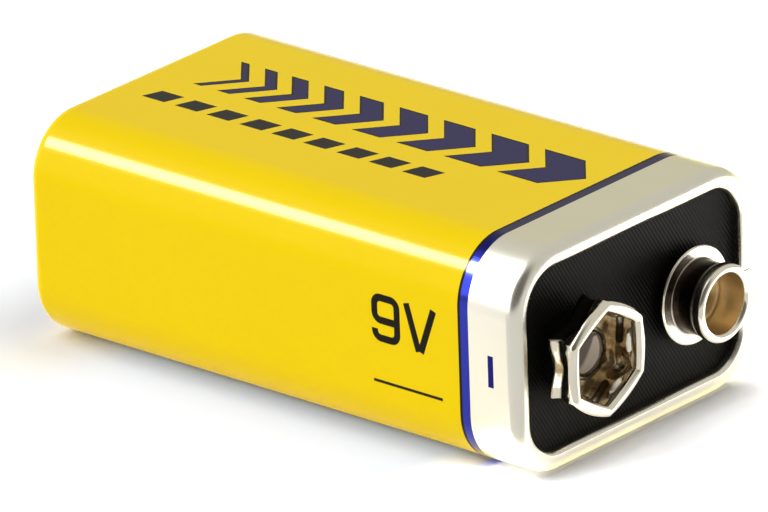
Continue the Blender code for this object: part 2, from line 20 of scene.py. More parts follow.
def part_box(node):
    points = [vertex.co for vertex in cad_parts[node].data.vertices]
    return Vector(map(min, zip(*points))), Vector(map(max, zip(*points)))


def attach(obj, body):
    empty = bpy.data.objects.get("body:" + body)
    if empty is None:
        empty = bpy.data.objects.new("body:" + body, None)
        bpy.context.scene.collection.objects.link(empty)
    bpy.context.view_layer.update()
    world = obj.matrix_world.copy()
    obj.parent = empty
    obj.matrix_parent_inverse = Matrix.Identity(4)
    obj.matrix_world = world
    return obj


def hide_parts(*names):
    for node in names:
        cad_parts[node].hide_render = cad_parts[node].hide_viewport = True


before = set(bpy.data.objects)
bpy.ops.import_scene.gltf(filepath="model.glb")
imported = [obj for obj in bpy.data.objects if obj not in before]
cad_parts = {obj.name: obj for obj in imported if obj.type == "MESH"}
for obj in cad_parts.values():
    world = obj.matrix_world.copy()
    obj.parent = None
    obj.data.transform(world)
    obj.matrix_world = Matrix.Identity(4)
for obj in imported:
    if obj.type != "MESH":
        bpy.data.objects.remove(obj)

MM = 0.001
BODY = "root"
IMAGE_WIDTH = 768
SENSOR_WIDTH = 36.0
MERGE = 0.0005 * MM
NEAR = 0.01 * MM
ROUND = 96
MIX_FIRST, MIX_SECOND, MIX_RESULT = 6, 7, 2
BOARD_THICKNESS = 1.5 * MM
BOSSES = (("positive_stud", 3.1 * MM), ("negative_socket", 3.0 * MM))

Piece = bpy.types.Object
Material = bpy.types.Material
Socket = bpy.types.NodeSocket
Colour = tuple[float, float, float]
Point = tuple[float, float]
Way = tuple[float, float, float]
Rings = tuple[tuple[float, Colour], ...]

log = logging.getLogger("battery")


class Pick(Enum):
    """What is picked in edit mode."""

    EDGE = "EDGE"
    FACE = "FACE"


class Slot(Enum):
    """The record's material slots."""

    TINPLATE = "lacquered_tinplate"
    NICKEL = "nickel_plate"
    BRASS = "brass"
    FIBRE = "black_fibre"
    STEEL = "tinned_steel"
    CARD = "card"
    PAD = "pad"
    FILM = "film"
    TAPE = "tape"
    ZINC = "zinc"
    PAPER = "separator_paper"
    MIX = "manganese_mix"


def take(piece: Piece) -> None:
    """Makes the piece the only one selected, and the active one.

    Args:
        piece: The piece that is worked on next.
    """
    bpy.ops.object.select_all(action="DESELECT")
    piece.select_set(True)
    bpy.context.view_layer.objects.active = piece


@contextmanager
def editing(piece: Piece) -> Iterator[None]:
    """Edit mode on one piece.

    Args:
        piece: The piece that is edited.

    Yields:
        Nothing, while the mode lasts.
    """
    take(piece)
    bpy.ops.object.mode_set(mode="EDIT")
    bpy.ops.mesh.select_mode(type="VERT")
    yield
    bpy.ops.object.mode_set(mode="OBJECT")


def pick(piece: Piece, kind: Pick, test: Callable[[list[Vector]], bool]) -> None:
    """Selects what passes a test in edit mode, and nothing else.

    Args:
        piece: The piece that is being edited.
        kind: Edges or faces.
        test: Takes the corners of an edge or a face.
    """
    bpy.ops.mesh.select_mode(type=kind.value)
    bpy.ops.mesh.select_all(action="DESELECT")
    mesh = bmesh.from_edit_mesh(piece.data)
    for element in mesh.edges if kind is Pick.EDGE else mesh.faces:
        if test([vert.co for vert in element.verts]):
            element.select_set(True)
    mesh.select_flush_mode()
    bmesh.update_edit_mesh(piece.data)


def bevel(offset: float, segments: int) -> None:
    """Rounds the picked edges."""
    bpy.ops.mesh.bevel(offset=offset, segments=segments, affect="EDGES", clamp_overlap=False)


def add(name: str, primitive: Callable[..., object], **settings: object) -> Piece:
    """A primitive with its place in its mesh, to be shaped further.

    Args:
        name: The new object's name.
        primitive: The operator that makes it.
        **settings: What the operator takes.

    Returns:
        The primitive.
    """
    bpy.ops.object.select_all(action="DESELECT")
    primitive(**settings)
    piece = bpy.context.active_object
    piece.name = name
    take(piece)
    bpy.ops.object.transform_apply(location=True, rotation=True, scale=True)
    return piece


def add_block(name: str, low: Vector, high: Vector, radius: float, segments: int) -> Piece:
    """A box with its edges along X rounded, to be shaped further.

    Args:
        name: The new object's name.
        low: Its lowest corner.
        high: Its highest corner.
        radius: The radius of its edges along X.
        segments: The faces in each of them.

    Returns:
        The box.
    """
    piece = add(name, bpy.ops.mesh.primitive_cube_add, size=1, location=(low + high) / 2, scale=high - low)
    length = high.x - low.x
    with editing(piece):
        pick(piece, Pick.EDGE, lambda ends: abs(ends[0].x - ends[1].x) > length / 2)
        bevel(radius, segments)
    return piece


def add_cylinder(name: str, centre: Vector, radius: float, start: float, end: float) -> Piece:
    """A cylinder along X, to be shaped further.

    Args:
        name: The new object's name.
        centre: A point on its axis.
        radius: Its radius.
        start: Where it begins along X.
        end: Where it ends along X.

    Returns:
        The cylinder.
    """
    return add(
        name,
        bpy.ops.mesh.primitive_cylinder_add,
        vertices=ROUND,
        radius=radius,
        depth=end - start,
        location=((start + end) / 2, centre.y, centre.z),
        rotation=(0, math.radians(90), 0),
    )


def trace(name: str, path: Sequence[Vector], closed: bool) -> Piece:
    """A wire drawn by extruding one point along a path.

    Args:
        name: The new object's name.
        path: The points that it passes.
        closed: True to join the last point to the first.

    Returns:
        The wire, with its place in its mesh.
    """
    piece = add(name, bpy.ops.mesh.primitive_plane_add, size=MM, location=path[0])
    with editing(piece):
        bpy.ops.mesh.select_all(action="SELECT")
        bpy.ops.mesh.merge(type="CENTER")
        for here, there in zip(path, path[1:]):
            bpy.ops.mesh.extrude_region_move(TRANSFORM_OT_translate={"value": there - here})
        if closed:
            ends = bmesh.from_edit_mesh(piece.data)
            for vert in ends.verts:
                vert.select_set(len(vert.link_edges) == 1)
            ends.select_flush_mode()
            bpy.ops.mesh.edge_face_add()
    return piece


def arc(centre: Point, radius: float, start: float, end: float, steps: int = 10) -> list[Point]:
    """Points on an arc, with the angles in degrees."""
    turns = [math.radians(start + (end - start) * i / steps) for i in range(steps + 1)]
    return [(centre[0] + radius * math.cos(turn), centre[1] + radius * math.sin(turn)) for turn in turns]


def turned(name: str, outline: Sequence[Point], foot: Vector) -> Piece:
    """A turned piece: a closed outline spun about an axis along X.

    Args:
        name: The new object's name.
        outline: Pairs of radius and height above the foot, all round the section.
        foot: Where the axis meets the piece's foot.

    Returns:
        The piece, with its poles closed and its faces outwards.
    """
    path = [foot + Vector((height, 0, radius)) for radius, height in outline]
    piece = trace(name, path, closed=True)
    with editing(piece):
        bpy.ops.mesh.select_all(action="SELECT")
        bpy.ops.mesh.spin(steps=ROUND, angle=math.tau, center=foot, axis=(1, 0, 0))
        bpy.ops.mesh.select_all(action="SELECT")
        bpy.ops.mesh.remove_doubles(threshold=MERGE)
        bpy.ops.mesh.dissolve_degenerate(threshold=MERGE)
        bpy.ops.mesh.normals_make_consistent(inside=False)
    return piece


def apply_modifier(piece: Piece, kind: str, **settings: object) -> None:
    """Adds a modifier to the piece, sets it and applies it.

    Args:
        piece: The piece.
        kind: The modifier's type.
        **settings: Its settings.
    """
    take(piece)
    modifier = piece.modifiers.new(kind.title(), kind)
    for name, value in settings.items():
        setattr(modifier, name, value)
    bpy.ops.object.modifier_apply(modifier=modifier.name)


def combine(piece: Piece, other: Piece, operation: str) -> None:
    """Joins another piece to this one, or cuts it out, and removes the other."""
    apply_modifier(piece, "BOOLEAN", object=other, operation=operation, solver="EXACT")
    bpy.data.objects.remove(other, do_unlink=True)


def polish(piece: Piece, angle: float = 32.0) -> None:
    """Smooth shading that keeps sharp edges and leaves wide flats flat.

    Args:
        piece: The piece.
        angle: From how many degrees an edge stays sharp.
    """
    take(piece)
    bpy.ops.object.shade_smooth_by_angle(angle=math.radians(angle))
    apply_modifier(piece, "WEIGHTED_NORMAL", keep_sharp=True, weight=80)


def fit(piece: Piece, slot: Slot, material: Material, *nodes: str) -> None:
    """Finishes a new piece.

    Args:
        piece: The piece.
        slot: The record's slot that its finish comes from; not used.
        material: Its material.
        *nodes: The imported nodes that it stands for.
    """
    piece.data.materials.clear()
    piece.data.materials.append(material)
    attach(piece, BODY)
    if nodes:
        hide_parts(*nodes)


class Wires:
    """Wires the nodes of one tree."""

    def __init__(self, tree: bpy.types.NodeTree) -> None:
        """Takes the tree that the nodes go into."""
        self.tree = tree

    def node(self, kind: str, **inputs: object) -> bpy.types.Node:
        """A node whose inputs are sockets to link or values to set.

        Args:
            kind: The node's type, without its ShaderNode prefix.
            **inputs: Values by input name, with an underscore for each space.

        Returns:
            The new node.
        """
        made = self.tree.nodes.new("ShaderNode" + kind)
        self.fill(made, inputs)
        return made

    def fill(self, made: bpy.types.Node, inputs: dict[str, object]) -> None:
        """Links or sets a node's inputs by name."""
        for name, value in inputs.items():
            self.feed(made.inputs[name.replace("_", " ")], value)

    def feed(self, socket: Socket, value: object) -> None:
        """Links an input, or sets it.

        Args:
            socket: The input.
            value: A socket to link to it, or a value for it.
        """
        if isinstance(value, Socket):
            self.tree.links.new(value, socket)
        elif isinstance(value, tuple) and len(socket.default_value) == 4:
            socket.default_value = (*value, 1.0)
        else:
            socket.default_value = value

    def math(self, operation: str, *values: object) -> Socket:
        """The result of a Math node.

        Args:
            operation: What the node does.
            *values: Sockets or numbers.

        Returns:
            The result.
        """
        made = self.tree.nodes.new("ShaderNodeMath")
        made.operation = operation
        for socket, value in zip(made.inputs, values):
            self.feed(socket, value)
        return made.outputs[0]

    def within(self, value: Socket, low: float, high: float) -> Socket:
        """1 where the value lies between two limits, and 0 elsewhere."""
        return self.math("COMPARE", value, (low + high) / 2, (high - low) / 2)

    def both(self, first: object, second: object) -> Socket:
        """Where both masks are 1."""
        return self.math("MULTIPLY", first, second)

    def either(self, first: object, second: object) -> Socket:
        """Where at least one of two masks is 1."""
        return self.math("MAXIMUM", first, second)

    def along(self, places: Sequence[Socket], way: Point) -> Socket:
        """How far a place lies along a way, from two of its coordinates."""
        return self.math("ADD", *(self.math("MULTIPLY", place, part) for place, part in zip(places, way)))

    def length(self, *parts: Socket) -> Socket:
        """How long a step is, from its two parts."""
        return self.math("SQRT", self.math("ADD", *(self.both(part, part) for part in parts)))

    def blend(self, share: object, first: object, second: object) -> Socket:
        """A passage from one colour to another.

        Args:
            share: Where it is 0 the first colour shows, and where it is 1 the second.
            first: The first colour.
            second: The second colour.

        Returns:
            The colour.
        """
        made = self.tree.nodes.new("ShaderNodeMix")
        made.data_type = "RGBA"
        self.feed(made.inputs["Factor"], share)
        self.feed(made.inputs[MIX_FIRST], first)
        self.feed(made.inputs[MIX_SECOND], second)
        return made.outputs[MIX_RESULT]

    def spread(self, value: object, start: float, end: float) -> Socket:
        """A value from 0 to 1 made to run from start to end."""
        return self.node("MapRange", Value=value, To_Min=start, To_Max=end).outputs[0]

    def ease(self, value: object, start: float, end: float) -> Socket:
        """A smooth passage from 0 to 1.

        Args:
            value: What it depends on.
            start: The value where it is 0.
            end: The value where it is 1.

        Returns:
            The share.
        """
        made = self.node("MapRange", Value=value, From_Min=start, From_Max=end)
        made.interpolation_type = "SMOOTHSTEP"
        return made.outputs[0]


class Graph(Wires):
    """Wires the nodes of one material round its Principled BSDF."""

    def __init__(self, name: str) -> None:
        """Starts a material with nothing but its shader and the object's own coordinates.

        Args:
            name: The material's name.
        """
        self.material = bpy.data.materials.new(name)
        self.material.use_nodes = True
        super().__init__(self.material.node_tree)
        self.shader = self.tree.nodes["Principled BSDF"]
        self.place = self.node("TexCoord").outputs["Object"]

    @cached_property
    def axes(self) -> list[Socket]:
        """The object's own X, Y and Z."""
        return list(self.node("SeparateXYZ", Vector=self.place).outputs)

    def shade(self, **inputs: object) -> Material:
        """Links or sets inputs of the Principled BSDF, which finishes the material."""
        self.fill(self.shader, inputs)
        return self.material

    def noise(
        self, size: float, detail: float = 3.0, stretch: Way = (1, 1, 1), seed: float = 0.0
    ) -> Socket:
        """Noise from 0 to 1 on the object's own coordinates.

        Args:
            size: How far apart its features are, in metres.
            detail: Its octaves.
            stretch: How far its features are drawn out along each axis.
            seed: Moves the pattern, so that two patterns differ.

        Returns:
            The noise's value.
        """
        scale = [1 / (size * part) for part in stretch]
        place = self.node("Mapping", Vector=self.place, Location=(seed, seed, seed), Scale=scale)
        return self.node("TexNoise", Vector=place.outputs[0], Scale=1.0, Detail=detail).outputs[0]

    def specks(self, size: float, reach: float, seed: float = 0.0) -> Socket:
        """Scattered round spots.

        Args:
            size: How far apart they are, in metres.
            reach: Their radius as a share of that.
            seed: Moves the pattern.

        Returns:
            1 at each spot's middle, falling to 0 at its edge.
        """
        place = self.node("Mapping", Vector=self.place, Location=(seed, seed, seed))
        cells = self.node("TexVoronoi", Vector=place.outputs[0], Scale=1 / size)
        return self.node("MapRange", Value=cells.outputs[0], From_Min=reach, From_Max=0.0).outputs[0]

    def vary(self, colour: object, amount: float, share: Socket) -> Socket:
        """A colour made darker and lighter by an amount as a share goes from 0 to 1."""
        value = self.spread(share, 1 - amount, 1 + amount)
        return self.node("HueSaturation", Value=value, Color=colour).outputs[0]

    def relief(self, height: object, depth: float, below: object = None) -> Socket:
        """Relief from a height of 0 to 1.

        Args:
            height: The height.
            depth: How deep the relief is, in metres.
            below: Relief that this one lies on.

        Returns:
            The bumped normal.
        """
        made = self.node("Bump", Height=height, Distance=depth, Strength=1.0)
        if below is not None:
            self.feed(made.inputs["Normal"], below)
        return made.outputs[0]


@dataclass(frozen=True)
class Ribbon:
    """A row of printed bars across the broad face, leaning or pointing towards the terminals."""

    start: float
    middle: float
    half_height: float
    lean: float
    pointed: bool
    count: int
    gap: float
    first_width: float
    last_width: float

    def bars(self, shrink: float) -> list[Point]:
        """The bars' places.

        Args:
            shrink: How far both ends of each are drawn in.

        Returns:
            Where each bar starts and ends.
        """
        spans = []
        start = self.start
        for number in range(self.count):
            share = number / (self.count - 1)
            width = self.first_width + (self.last_width - self.first_width) * share
            spans.append((start + shrink, start + width - shrink))
            start += width + self.gap
        return spans

    def mask(self, graph: Graph, shrink: float) -> Socket:
        """1 on the bars.

        Args:
            graph: The material that the mask belongs to.
            shrink: How far inside the bars' edges the mask ends.

        Returns:
            The mask.
        """
        x, y, _ = graph.axes
        across = graph.math("SUBTRACT", y, self.middle)
        if self.pointed:
            across = graph.math("ABSOLUTE", across)
        along = graph.math("ADD", x, graph.math("MULTIPLY", across, self.lean))
        spans = self.bars(shrink)
        low, high = spans[0][0] - MM, spans[-1][1] + MM
        ramp = graph.node("ValToRGB")
        ramp.color_ramp.interpolation = "CONSTANT"
        for start, end in spans:
            ramp.color_ramp.elements.new((start - low) / (high - low)).color = (1, 1, 1, 1)
            ramp.color_ramp.elements.new((end - low) / (high - low)).color = (0, 0, 0, 1)
        ramp.color_ramp.elements[-1].color = (0, 0, 0, 1)
        share = graph.node("MapRange", Value=along, From_Min=low, From_Max=high).outputs[0]
        graph.feed(ramp.inputs[0], share)
        reach = self.half_height - shrink
        row = graph.within(y, self.middle - reach, self.middle + reach)
        return graph.both(ramp.outputs[0], row)


@dataclass(frozen=True)
class Bar:
    """A straight bar printed on the near narrow side."""

    start: float
    end: float
    low: float
    high: float

    def mask(self, graph: Graph) -> Socket:
        """1 on the bar, on any face."""
        x, _, z = graph.axes
        return graph.both(graph.within(x, self.start, self.end), graph.within(z, self.low, self.high))


@dataclass(frozen=True)
class PrintedTinplate:
    """Tinplate with glossy yellow lacquer, a translucent blue stripe and a bare satin band."""

    stripe_start: float
    stripe_end: float
    top: float
    side: float
    yellow: Colour = (0.9, 0.645, 0.003)
    gleam: Colour = (1.0, 0.95, 0.6)
    blue: Colour = (0.03, 0.04, 0.36)
    # Dark blue for the printed dash, and painted shade for the stripe on the top face.
    deep_blue_and_painted_shade: Colour = (0.012, 0.014, 0.17)
    navy: Colour = (0.022, 0.017, 0.085)
    black: Colour = (0.014, 0.011, 0.008)
    tin: Colour = (0.81, 0.786, 0.708)
    line_width: float = 0.22 * MM
    outline: float = 0.2 * MM
    print_depth: float = 1.0 * MM
    rule: Bar = Bar(start=8.1 * MM, end=14.45 * MM, low=5.03 * MM, high=5.25 * MM)
    dash: Bar = Bar(start=18.675 * MM, end=19.175 * MM, low=7.17 * MM, high=9.56 * MM)
    large: Ribbon = Ribbon(
        start=-17.4 * MM,
        middle=2.335 * MM,
        half_height=2.65 * MM,
        lean=0.85,
        pointed=True,
        count=9,
        gap=1.45 * MM,
        first_width=0.8 * MM,
        last_width=3.8 * MM,
    )
    small: Ribbon = Ribbon(
        start=-20.67 * MM,
        middle=-3.48 * MM,
        half_height=0.8 * MM,
        lean=-0.35,
        pointed=False,
        count=9,
        gap=0.95 * MM,
        first_width=2.1 * MM,
        last_width=2.1 * MM,
    )

    def make(self) -> Material:
        """The jacket's material.

        Returns:
            The material.
        """
        graph = Graph("printed_tinplate")
        x = graph.axes[0]
        band = graph.math("GREATER_THAN", x, self.stripe_end)
        stripe = graph.within(x, self.stripe_start + self.line_width, self.stripe_end)
        return graph.shade(
            Base_Color=self.colours(graph, band, stripe),
            Metallic=graph.either(band, stripe),
            Roughness=self.roughness(graph, band),
            Normal=self.surface(graph, band),
            Specular_IOR_Level=0.07,
            Specular_Tint=self.gleam,
        )

    def colours(self, graph: Graph, band: Socket, stripe: Socket) -> Socket:
        """Yellow, then the print in the order that it is laid on.

        Args:
            graph: The jacket's material.
            band: The mask of the bare band.
            stripe: The mask of the blue stripe.

        Returns:
            The base colour's socket.
        """
        x, y, z = graph.axes
        cloud = graph.noise(9 * MM, detail=2)
        yellow = graph.vary(self.yellow, 0.018, cloud)
        on_top = graph.math("GREATER_THAN", z, self.top - self.print_depth)
        on_side = graph.math("LESS_THAN", y, self.side + self.print_depth)
        outer = graph.either(self.large.mask(graph, 0.0), self.small.mask(graph, 0.0))
        inner = self.large.mask(graph, self.outline)
        colour = graph.blend(graph.both(outer, on_top), yellow, self.black)
        ink = graph.vary(self.navy, 0.12, graph.noise(0.25 * MM, detail=2))
        colour = graph.blend(graph.both(inner, on_top), colour, ink)
        colour = graph.blend(graph.both(self.rule.mask(graph), on_side), colour, self.black)
        line = graph.within(x, self.stripe_start, self.stripe_start + self.line_width)
        colour = graph.blend(line, colour, self.black)
        # Painted shade: the stripe is darker on the top face than on the side.
        blue = graph.blend(on_top, self.blue, self.deep_blue_and_painted_shade)
        colour = graph.blend(stripe, colour, graph.vary(blue, 0.06, cloud))
        dull = graph.noise(5 * MM, detail=4, stretch=(3, 1, 1), seed=0.3)
        colour = graph.blend(band, colour, graph.vary(self.tin, 0.03, dull))
        return graph.blend(graph.both(self.dash.mask(graph), on_side), colour, self.deep_blue_and_painted_shade)

    def roughness(self, graph: Graph, band: Socket) -> Socket:
        """Glossy lacquer and satin tin, each a little uneven.

        Args:
            graph: The jacket's material.
            band: The mask of the bare band.

        Returns:
            The roughness.
        """
        uneven = graph.noise(1.4 * MM, detail=5)
        lacquer = graph.spread(uneven, 0.13, 0.18)
        satin = graph.spread(graph.noise(0.3 * MM, detail=4, stretch=(8, 1, 1)), 0.22, 0.28)
        share = graph.math("SUBTRACT", 1.0, band)
        return graph.math("ADD", graph.both(band, satin), graph.both(share, lacquer))

    def surface(self, graph: Graph, band: Socket) -> Socket:
        """Fine flow marks in the lacquer and rolling lines in the tin.

        Args:
            graph: The jacket's material.
            band: The mask of the bare band.

        Returns:
            The normal.
        """
        flow = graph.noise(0.9 * MM, detail=2)
        rolled = graph.noise(0.12 * MM, detail=3, stretch=(14, 1, 1), seed=0.7)
        peel = graph.relief(flow, 0.0016 * MM)
        return graph.relief(graph.both(rolled, band), 0.0012 * MM, peel)


@dataclass(frozen=True)
class Zone:
    """A part of a terminal piece with a tone set apart from the plate's: a real colour in some zones and
    painted shade in others.

    It lies between two radii, between two heights along X above the piece's foot, and above a level
    along Z on the axis.
    """

    tone: Colour
    rough: float
    inner: float
    outer: float
    low: float
    high: float
    level: float = -10 * MM
    streak: float = 0.3

    def mask(self, graph: Graph, foot: Vector, soft: float = 0.08 * MM) -> Socket:
        """1 in the zone, falling to 0 across its borders.

        Args:
            graph: The material that the mask belongs to.
            foot: Where the piece's axis meets its foot.
            soft: How wide the borders are.

        Returns:
            The mask.
        """
        x, y, z = graph.axes
        radius = graph.length(graph.math("SUBTRACT", y, foot.y), graph.math("SUBTRACT", z, foot.z))
        height = graph.math("SUBTRACT", x, foot.x)
        mask = graph.ease(z, foot.z + self.level - soft, foot.z + self.level + soft)
        for value, low, high in ((radius, self.inner, self.outer), (height, self.low, self.high)):
            mask = graph.both(mask, graph.ease(value, low - soft, low + soft))
            mask = graph.both(mask, graph.ease(value, high + soft, high - soft))
        return mask


@dataclass(frozen=True)
class SnapPlate:
    """Bright plate with a warm cast and fine scratches, and other tones in named zones, some of them painted
    shade.
    """

    name: str
    foot: Vector
    plate: Colour = (0.84, 0.79, 0.68)
    zones: tuple[Zone, ...] = ()
    gloss: float = 0.12
    dull: float = 0.2

    def make(self) -> Material:
        """The plated material.

        Returns:
            The material.
        """
        graph = Graph(self.name)
        # Random tarnish over the whole plate.
        tarnish_and_painted_shade = graph.noise(1.1 * MM, detail=5)
        # Streaks along X: faint on most zones, strong inside the socket, where they are painted reflections
        # of its panels.
        streaks_and_painted_reflections = graph.noise(0.35 * MM, detail=3, stretch=(9, 1, 1), seed=0.6)
        colour = self.plate
        rough = graph.spread(graph.noise(0.5 * MM, detail=4, seed=0.4), self.gloss, self.dull)
        for zone in self.zones:
            mask = zone.mask(graph, self.foot)
            colour = graph.blend(mask, colour, graph.vary(zone.tone, zone.streak, streaks_and_painted_reflections))
            rough = graph.math("ADD", rough, graph.both(mask, zone.rough))
        scratches = graph.noise(0.05 * MM, detail=3, stretch=(1, 9, 9), seed=0.2)
        return graph.shade(
            Base_Color=graph.vary(colour, 0.08, tarnish_and_painted_shade),
            Metallic=1.0,
            Roughness=rough,
            Normal=graph.relief(scratches, 0.0008 * MM),
        )


@dataclass(frozen=True)
class RibbedFibre:
    """Black fibre board with fine slanting ribs pressed into its face."""

    black: Colour = (0.0025, 0.0025, 0.002)
    # A lighter tone on the rib crests, patchy with the lint noise.
    crest_tone: Colour = (0.012, 0.011, 0.009)
    rib_pitch: float = 0.28 * MM
    rib_depth: float = 0.045 * MM
    rib_across: Point = (0.83, 0.55)

    def make(self) -> Material:
        """The board's material.

        Returns:
            The material.
        """
        graph = Graph("ribbed_fibre")
        across = graph.along(graph.axes[1:], self.rib_across)
        turn = graph.math("MULTIPLY", across, math.tau / self.rib_pitch)
        rib = graph.spread(graph.math("SINE", turn), 0.5, 1.0)
        lint = graph.noise(0.35 * MM, detail=4)
        ribs = graph.relief(rib, self.rib_depth)
        return graph.shade(
            Base_Color=graph.blend(graph.both(rib, lint), self.black, self.crest_tone),
            Roughness=graph.spread(lint, 0.34, 0.5),
            Normal=graph.relief(graph.noise(0.06 * MM, detail=2), 0.004 * MM, ribs),
            Specular_IOR_Level=0.07,
        )


@dataclass(frozen=True)
class PrintingInk:
    """Black ink laid on the lacquer."""

    black: Colour = (0.007, 0.005, 0.003)

    def make(self) -> Material:
        """The ink's material.

        Returns:
            The material.
        """
        graph = Graph("printing_ink")
        patchy = graph.noise(0.2 * MM, detail=3)
        return graph.shade(
            Base_Color=graph.vary(self.black, 0.2, patchy),
            Roughness=graph.spread(patchy, 0.24, 0.36),
            Normal=graph.relief(patchy, 0.001 * MM),
            Specular_IOR_Level=0.08,
        )


@dataclass(frozen=True)
class InnerStock:
    """Stock that the hidden pieces are cut, pressed or drawn from.

    The grain's spacing and depth are in millimetres, and a node belongs to the stock by how its name
    begins.
    """

    name: str
    nodes: tuple[str, ...]
    colour: Colour
    stain: Colour
    roughness: float
    grain: float
    depth: float
    metallic: float = 0.0
    stretch: Way = (1, 1, 1)

    def make(self) -> Material:
        """Grain in the stock's own direction, with stains, specks and uneven sheen.

        Returns:
            The material.
        """
        graph = Graph(self.name)
        grain = graph.noise(self.grain * MM, detail=5, stretch=self.stretch)
        blotch = graph.noise(6 * MM, detail=2, seed=0.5)
        colour = graph.blend(graph.math("POWER", blotch, 3.0), self.colour, self.stain)
        specks = graph.specks(0.9 * MM, 0.12, seed=0.1)
        colour = graph.blend(graph.both(specks, 0.4), graph.vary(colour, 0.12, grain), self.stain)
        return graph.shade(
            Base_Color=colour,
            Metallic=self.metallic,
            Roughness=graph.spread(grain, self.roughness - 0.08, min(self.roughness + 0.08, 1.0)),
            Normal=graph.relief(grain, self.depth * MM),
        )


@dataclass
class Jacket:
    """The folded tinplate sheet: rounded body, rolled lips and a lapped seam on the far narrow side."""

    low: Vector
    high: Vector
    sheet: float = 0.3 * MM
    corner_radius: float = 4.5 * MM
    rim_bend: float = 0.9 * MM
    base_bend: float = 1.0 * MM
    lip_bend: float = 0.4 * MM
    lip_land: float = 0.2 * MM
    rim_depth: float = 0.73 * MM
    base_depth: float = 0.75 * MM
    lap_start: float = -22.35 * MM
    lap_end: float = 18.92 * MM
    lap_edge: float = 8.25 * MM
    lap_step: float = 8.35 * MM
    lap_ramp: float = 8.7 * MM
    lap_tuck: float = 6.05 * MM
    lap_fit: float = 0.05 * MM
    bare_band: float = 4.33 * MM
    stripe_width: float = 0.95 * MM

    def inset(self, point: Vector) -> float:
        """How far in from the outer faces a point lies, seen along X.

        Args:
            point: The point.

        Returns:
            The distance, which is negative outside.
        """
        centre = (self.low + self.high) / 2
        reach = (self.high - self.low) / 2
        across = abs(point.y - centre.y) - (reach.y - self.corner_radius)
        up = abs(point.z - centre.z) - (reach.z - self.corner_radius)
        if across > 0 and up > 0:
            return self.corner_radius - math.hypot(across, up)
        return self.corner_radius - max(across, up)

    def build(self) -> Piece:
        """Models the sheet and dresses it.

        Returns:
            The sheet.
        """
        piece = add_block("jacket_sheet", self.low, self.high, self.corner_radius, segments=24)
        self.roll_lip(piece, self.high.x, self.rim_bend, -self.rim_depth)
        self.roll_lip(piece, self.low.x, self.base_bend, self.base_depth)
        self.lap_seam(piece)
        apply_modifier(
            piece, "SOLIDIFY", thickness=self.sheet, offset=-1, use_even_offset=True, use_quality_normals=True
        )
        polish(piece)
        stripe_end = self.high.x - self.bare_band
        finish = PrintedTinplate(stripe_end - self.stripe_width, stripe_end, self.high.z, self.low.y)
        fit(piece, Slot.TINPLATE, finish.make(), "jacket")
        return piece

    def roll_lip(self, piece: Piece, end: float, bend: float, depth: float) -> None:
        """Rolls one end of the sheet inwards and down to the board.

        Args:
            piece: The sheet, closed at that end by one face.
            end: Where that end lies along X.
            bend: The radius of its outer edge.
            depth: How far the lip runs back along X.
        """
        width = bend + self.lip_land + self.lip_bend
        with editing(piece):
            pick(piece, Pick.FACE, lambda points: all(abs(p.x - end) < NEAR for p in points))
            bpy.ops.mesh.inset(thickness=width, use_even_offset=True)
            bpy.ops.mesh.extrude_region_move(TRANSFORM_OT_translate={"value": (depth, 0, 0)})
            bpy.ops.mesh.delete(type="FACE")
            for inset, radius in ((0.0, bend), (width, self.lip_bend)):
                pick(piece, Pick.EDGE, lambda ends: self.on_loop(ends, end, inset))
                bevel(radius, segments=12)

    def on_loop(self, ends: list[Vector], end: float, inset: float) -> bool:
        """True for an edge that runs round one end at an inset."""
        return all(abs(p.x - end) < NEAR and abs(self.inset(p) - inset) < NEAR for p in ends)

    def lap_seam(self, piece: Piece) -> None:
        """Opens the sheet along the far side and tucks one edge under the other.

        Args:
            piece: The sheet, with both ends rolled.
        """
        flat = self.high.y - NEAR
        lips = flat - self.base_bend - self.lip_land - self.lip_bend
        with editing(piece):
            for height in (self.lap_edge, self.lap_step):
                pick(piece, Pick.FACE, lambda points: all(p.y > lips for p in points))
                self.cut((0, 0, height), (0, 0, 1))
            pick(piece, Pick.FACE, lambda points: self.between(points, self.lap_edge, self.lap_step, lips))
            bpy.ops.mesh.delete(type="FACE")
            pick(piece, Pick.FACE, lambda points: all(p.y > flat for p in points))
            self.cut((0, 0, self.lap_ramp), (0, 0, 1))
            for place in (self.lap_start, self.lap_end):
                pick(
                    piece, Pick.FACE, lambda points: self.between(points, self.lap_step, self.lap_ramp, flat)
                )
                self.cut((place, 0, 0), (1, 0, 0))
            pick(piece, Pick.FACE, lambda points: self.in_lap(points, self.lap_step))
            bpy.ops.mesh.delete(type="FACE")
            pick(piece, Pick.EDGE, lambda ends: self.in_lap(ends, self.lap_ramp))
            for step in (
                (0, -self.sheet - self.lap_fit, self.lap_step - self.lap_ramp),
                (0, 0, self.lap_tuck - self.lap_step),
            ):
                bpy.ops.mesh.extrude_region_move(TRANSFORM_OT_translate={"value": step})

    def cut(self, place: Way, way: Way) -> None:
        """Divides the picked faces along a plane."""
        bpy.ops.mesh.bisect(plane_co=place, plane_no=way, threshold=NEAR)

    def between(self, points: list[Vector], low: float, high: float, beyond: float) -> bool:
        """True if every point lies between two heights and beyond a place across the battery."""
        return all(low - NEAR < p.z < high + NEAR and p.y > beyond for p in points)

    def in_lap(self, points: list[Vector], low: float) -> bool:
        """True if every point lies on the lapped stretch, between a height and the ramp's top."""
        along = all(self.lap_start - NEAR < p.x < self.lap_end + NEAR for p in points)
        return along and self.between(points, low, self.lap_ramp, self.high.y - NEAR)


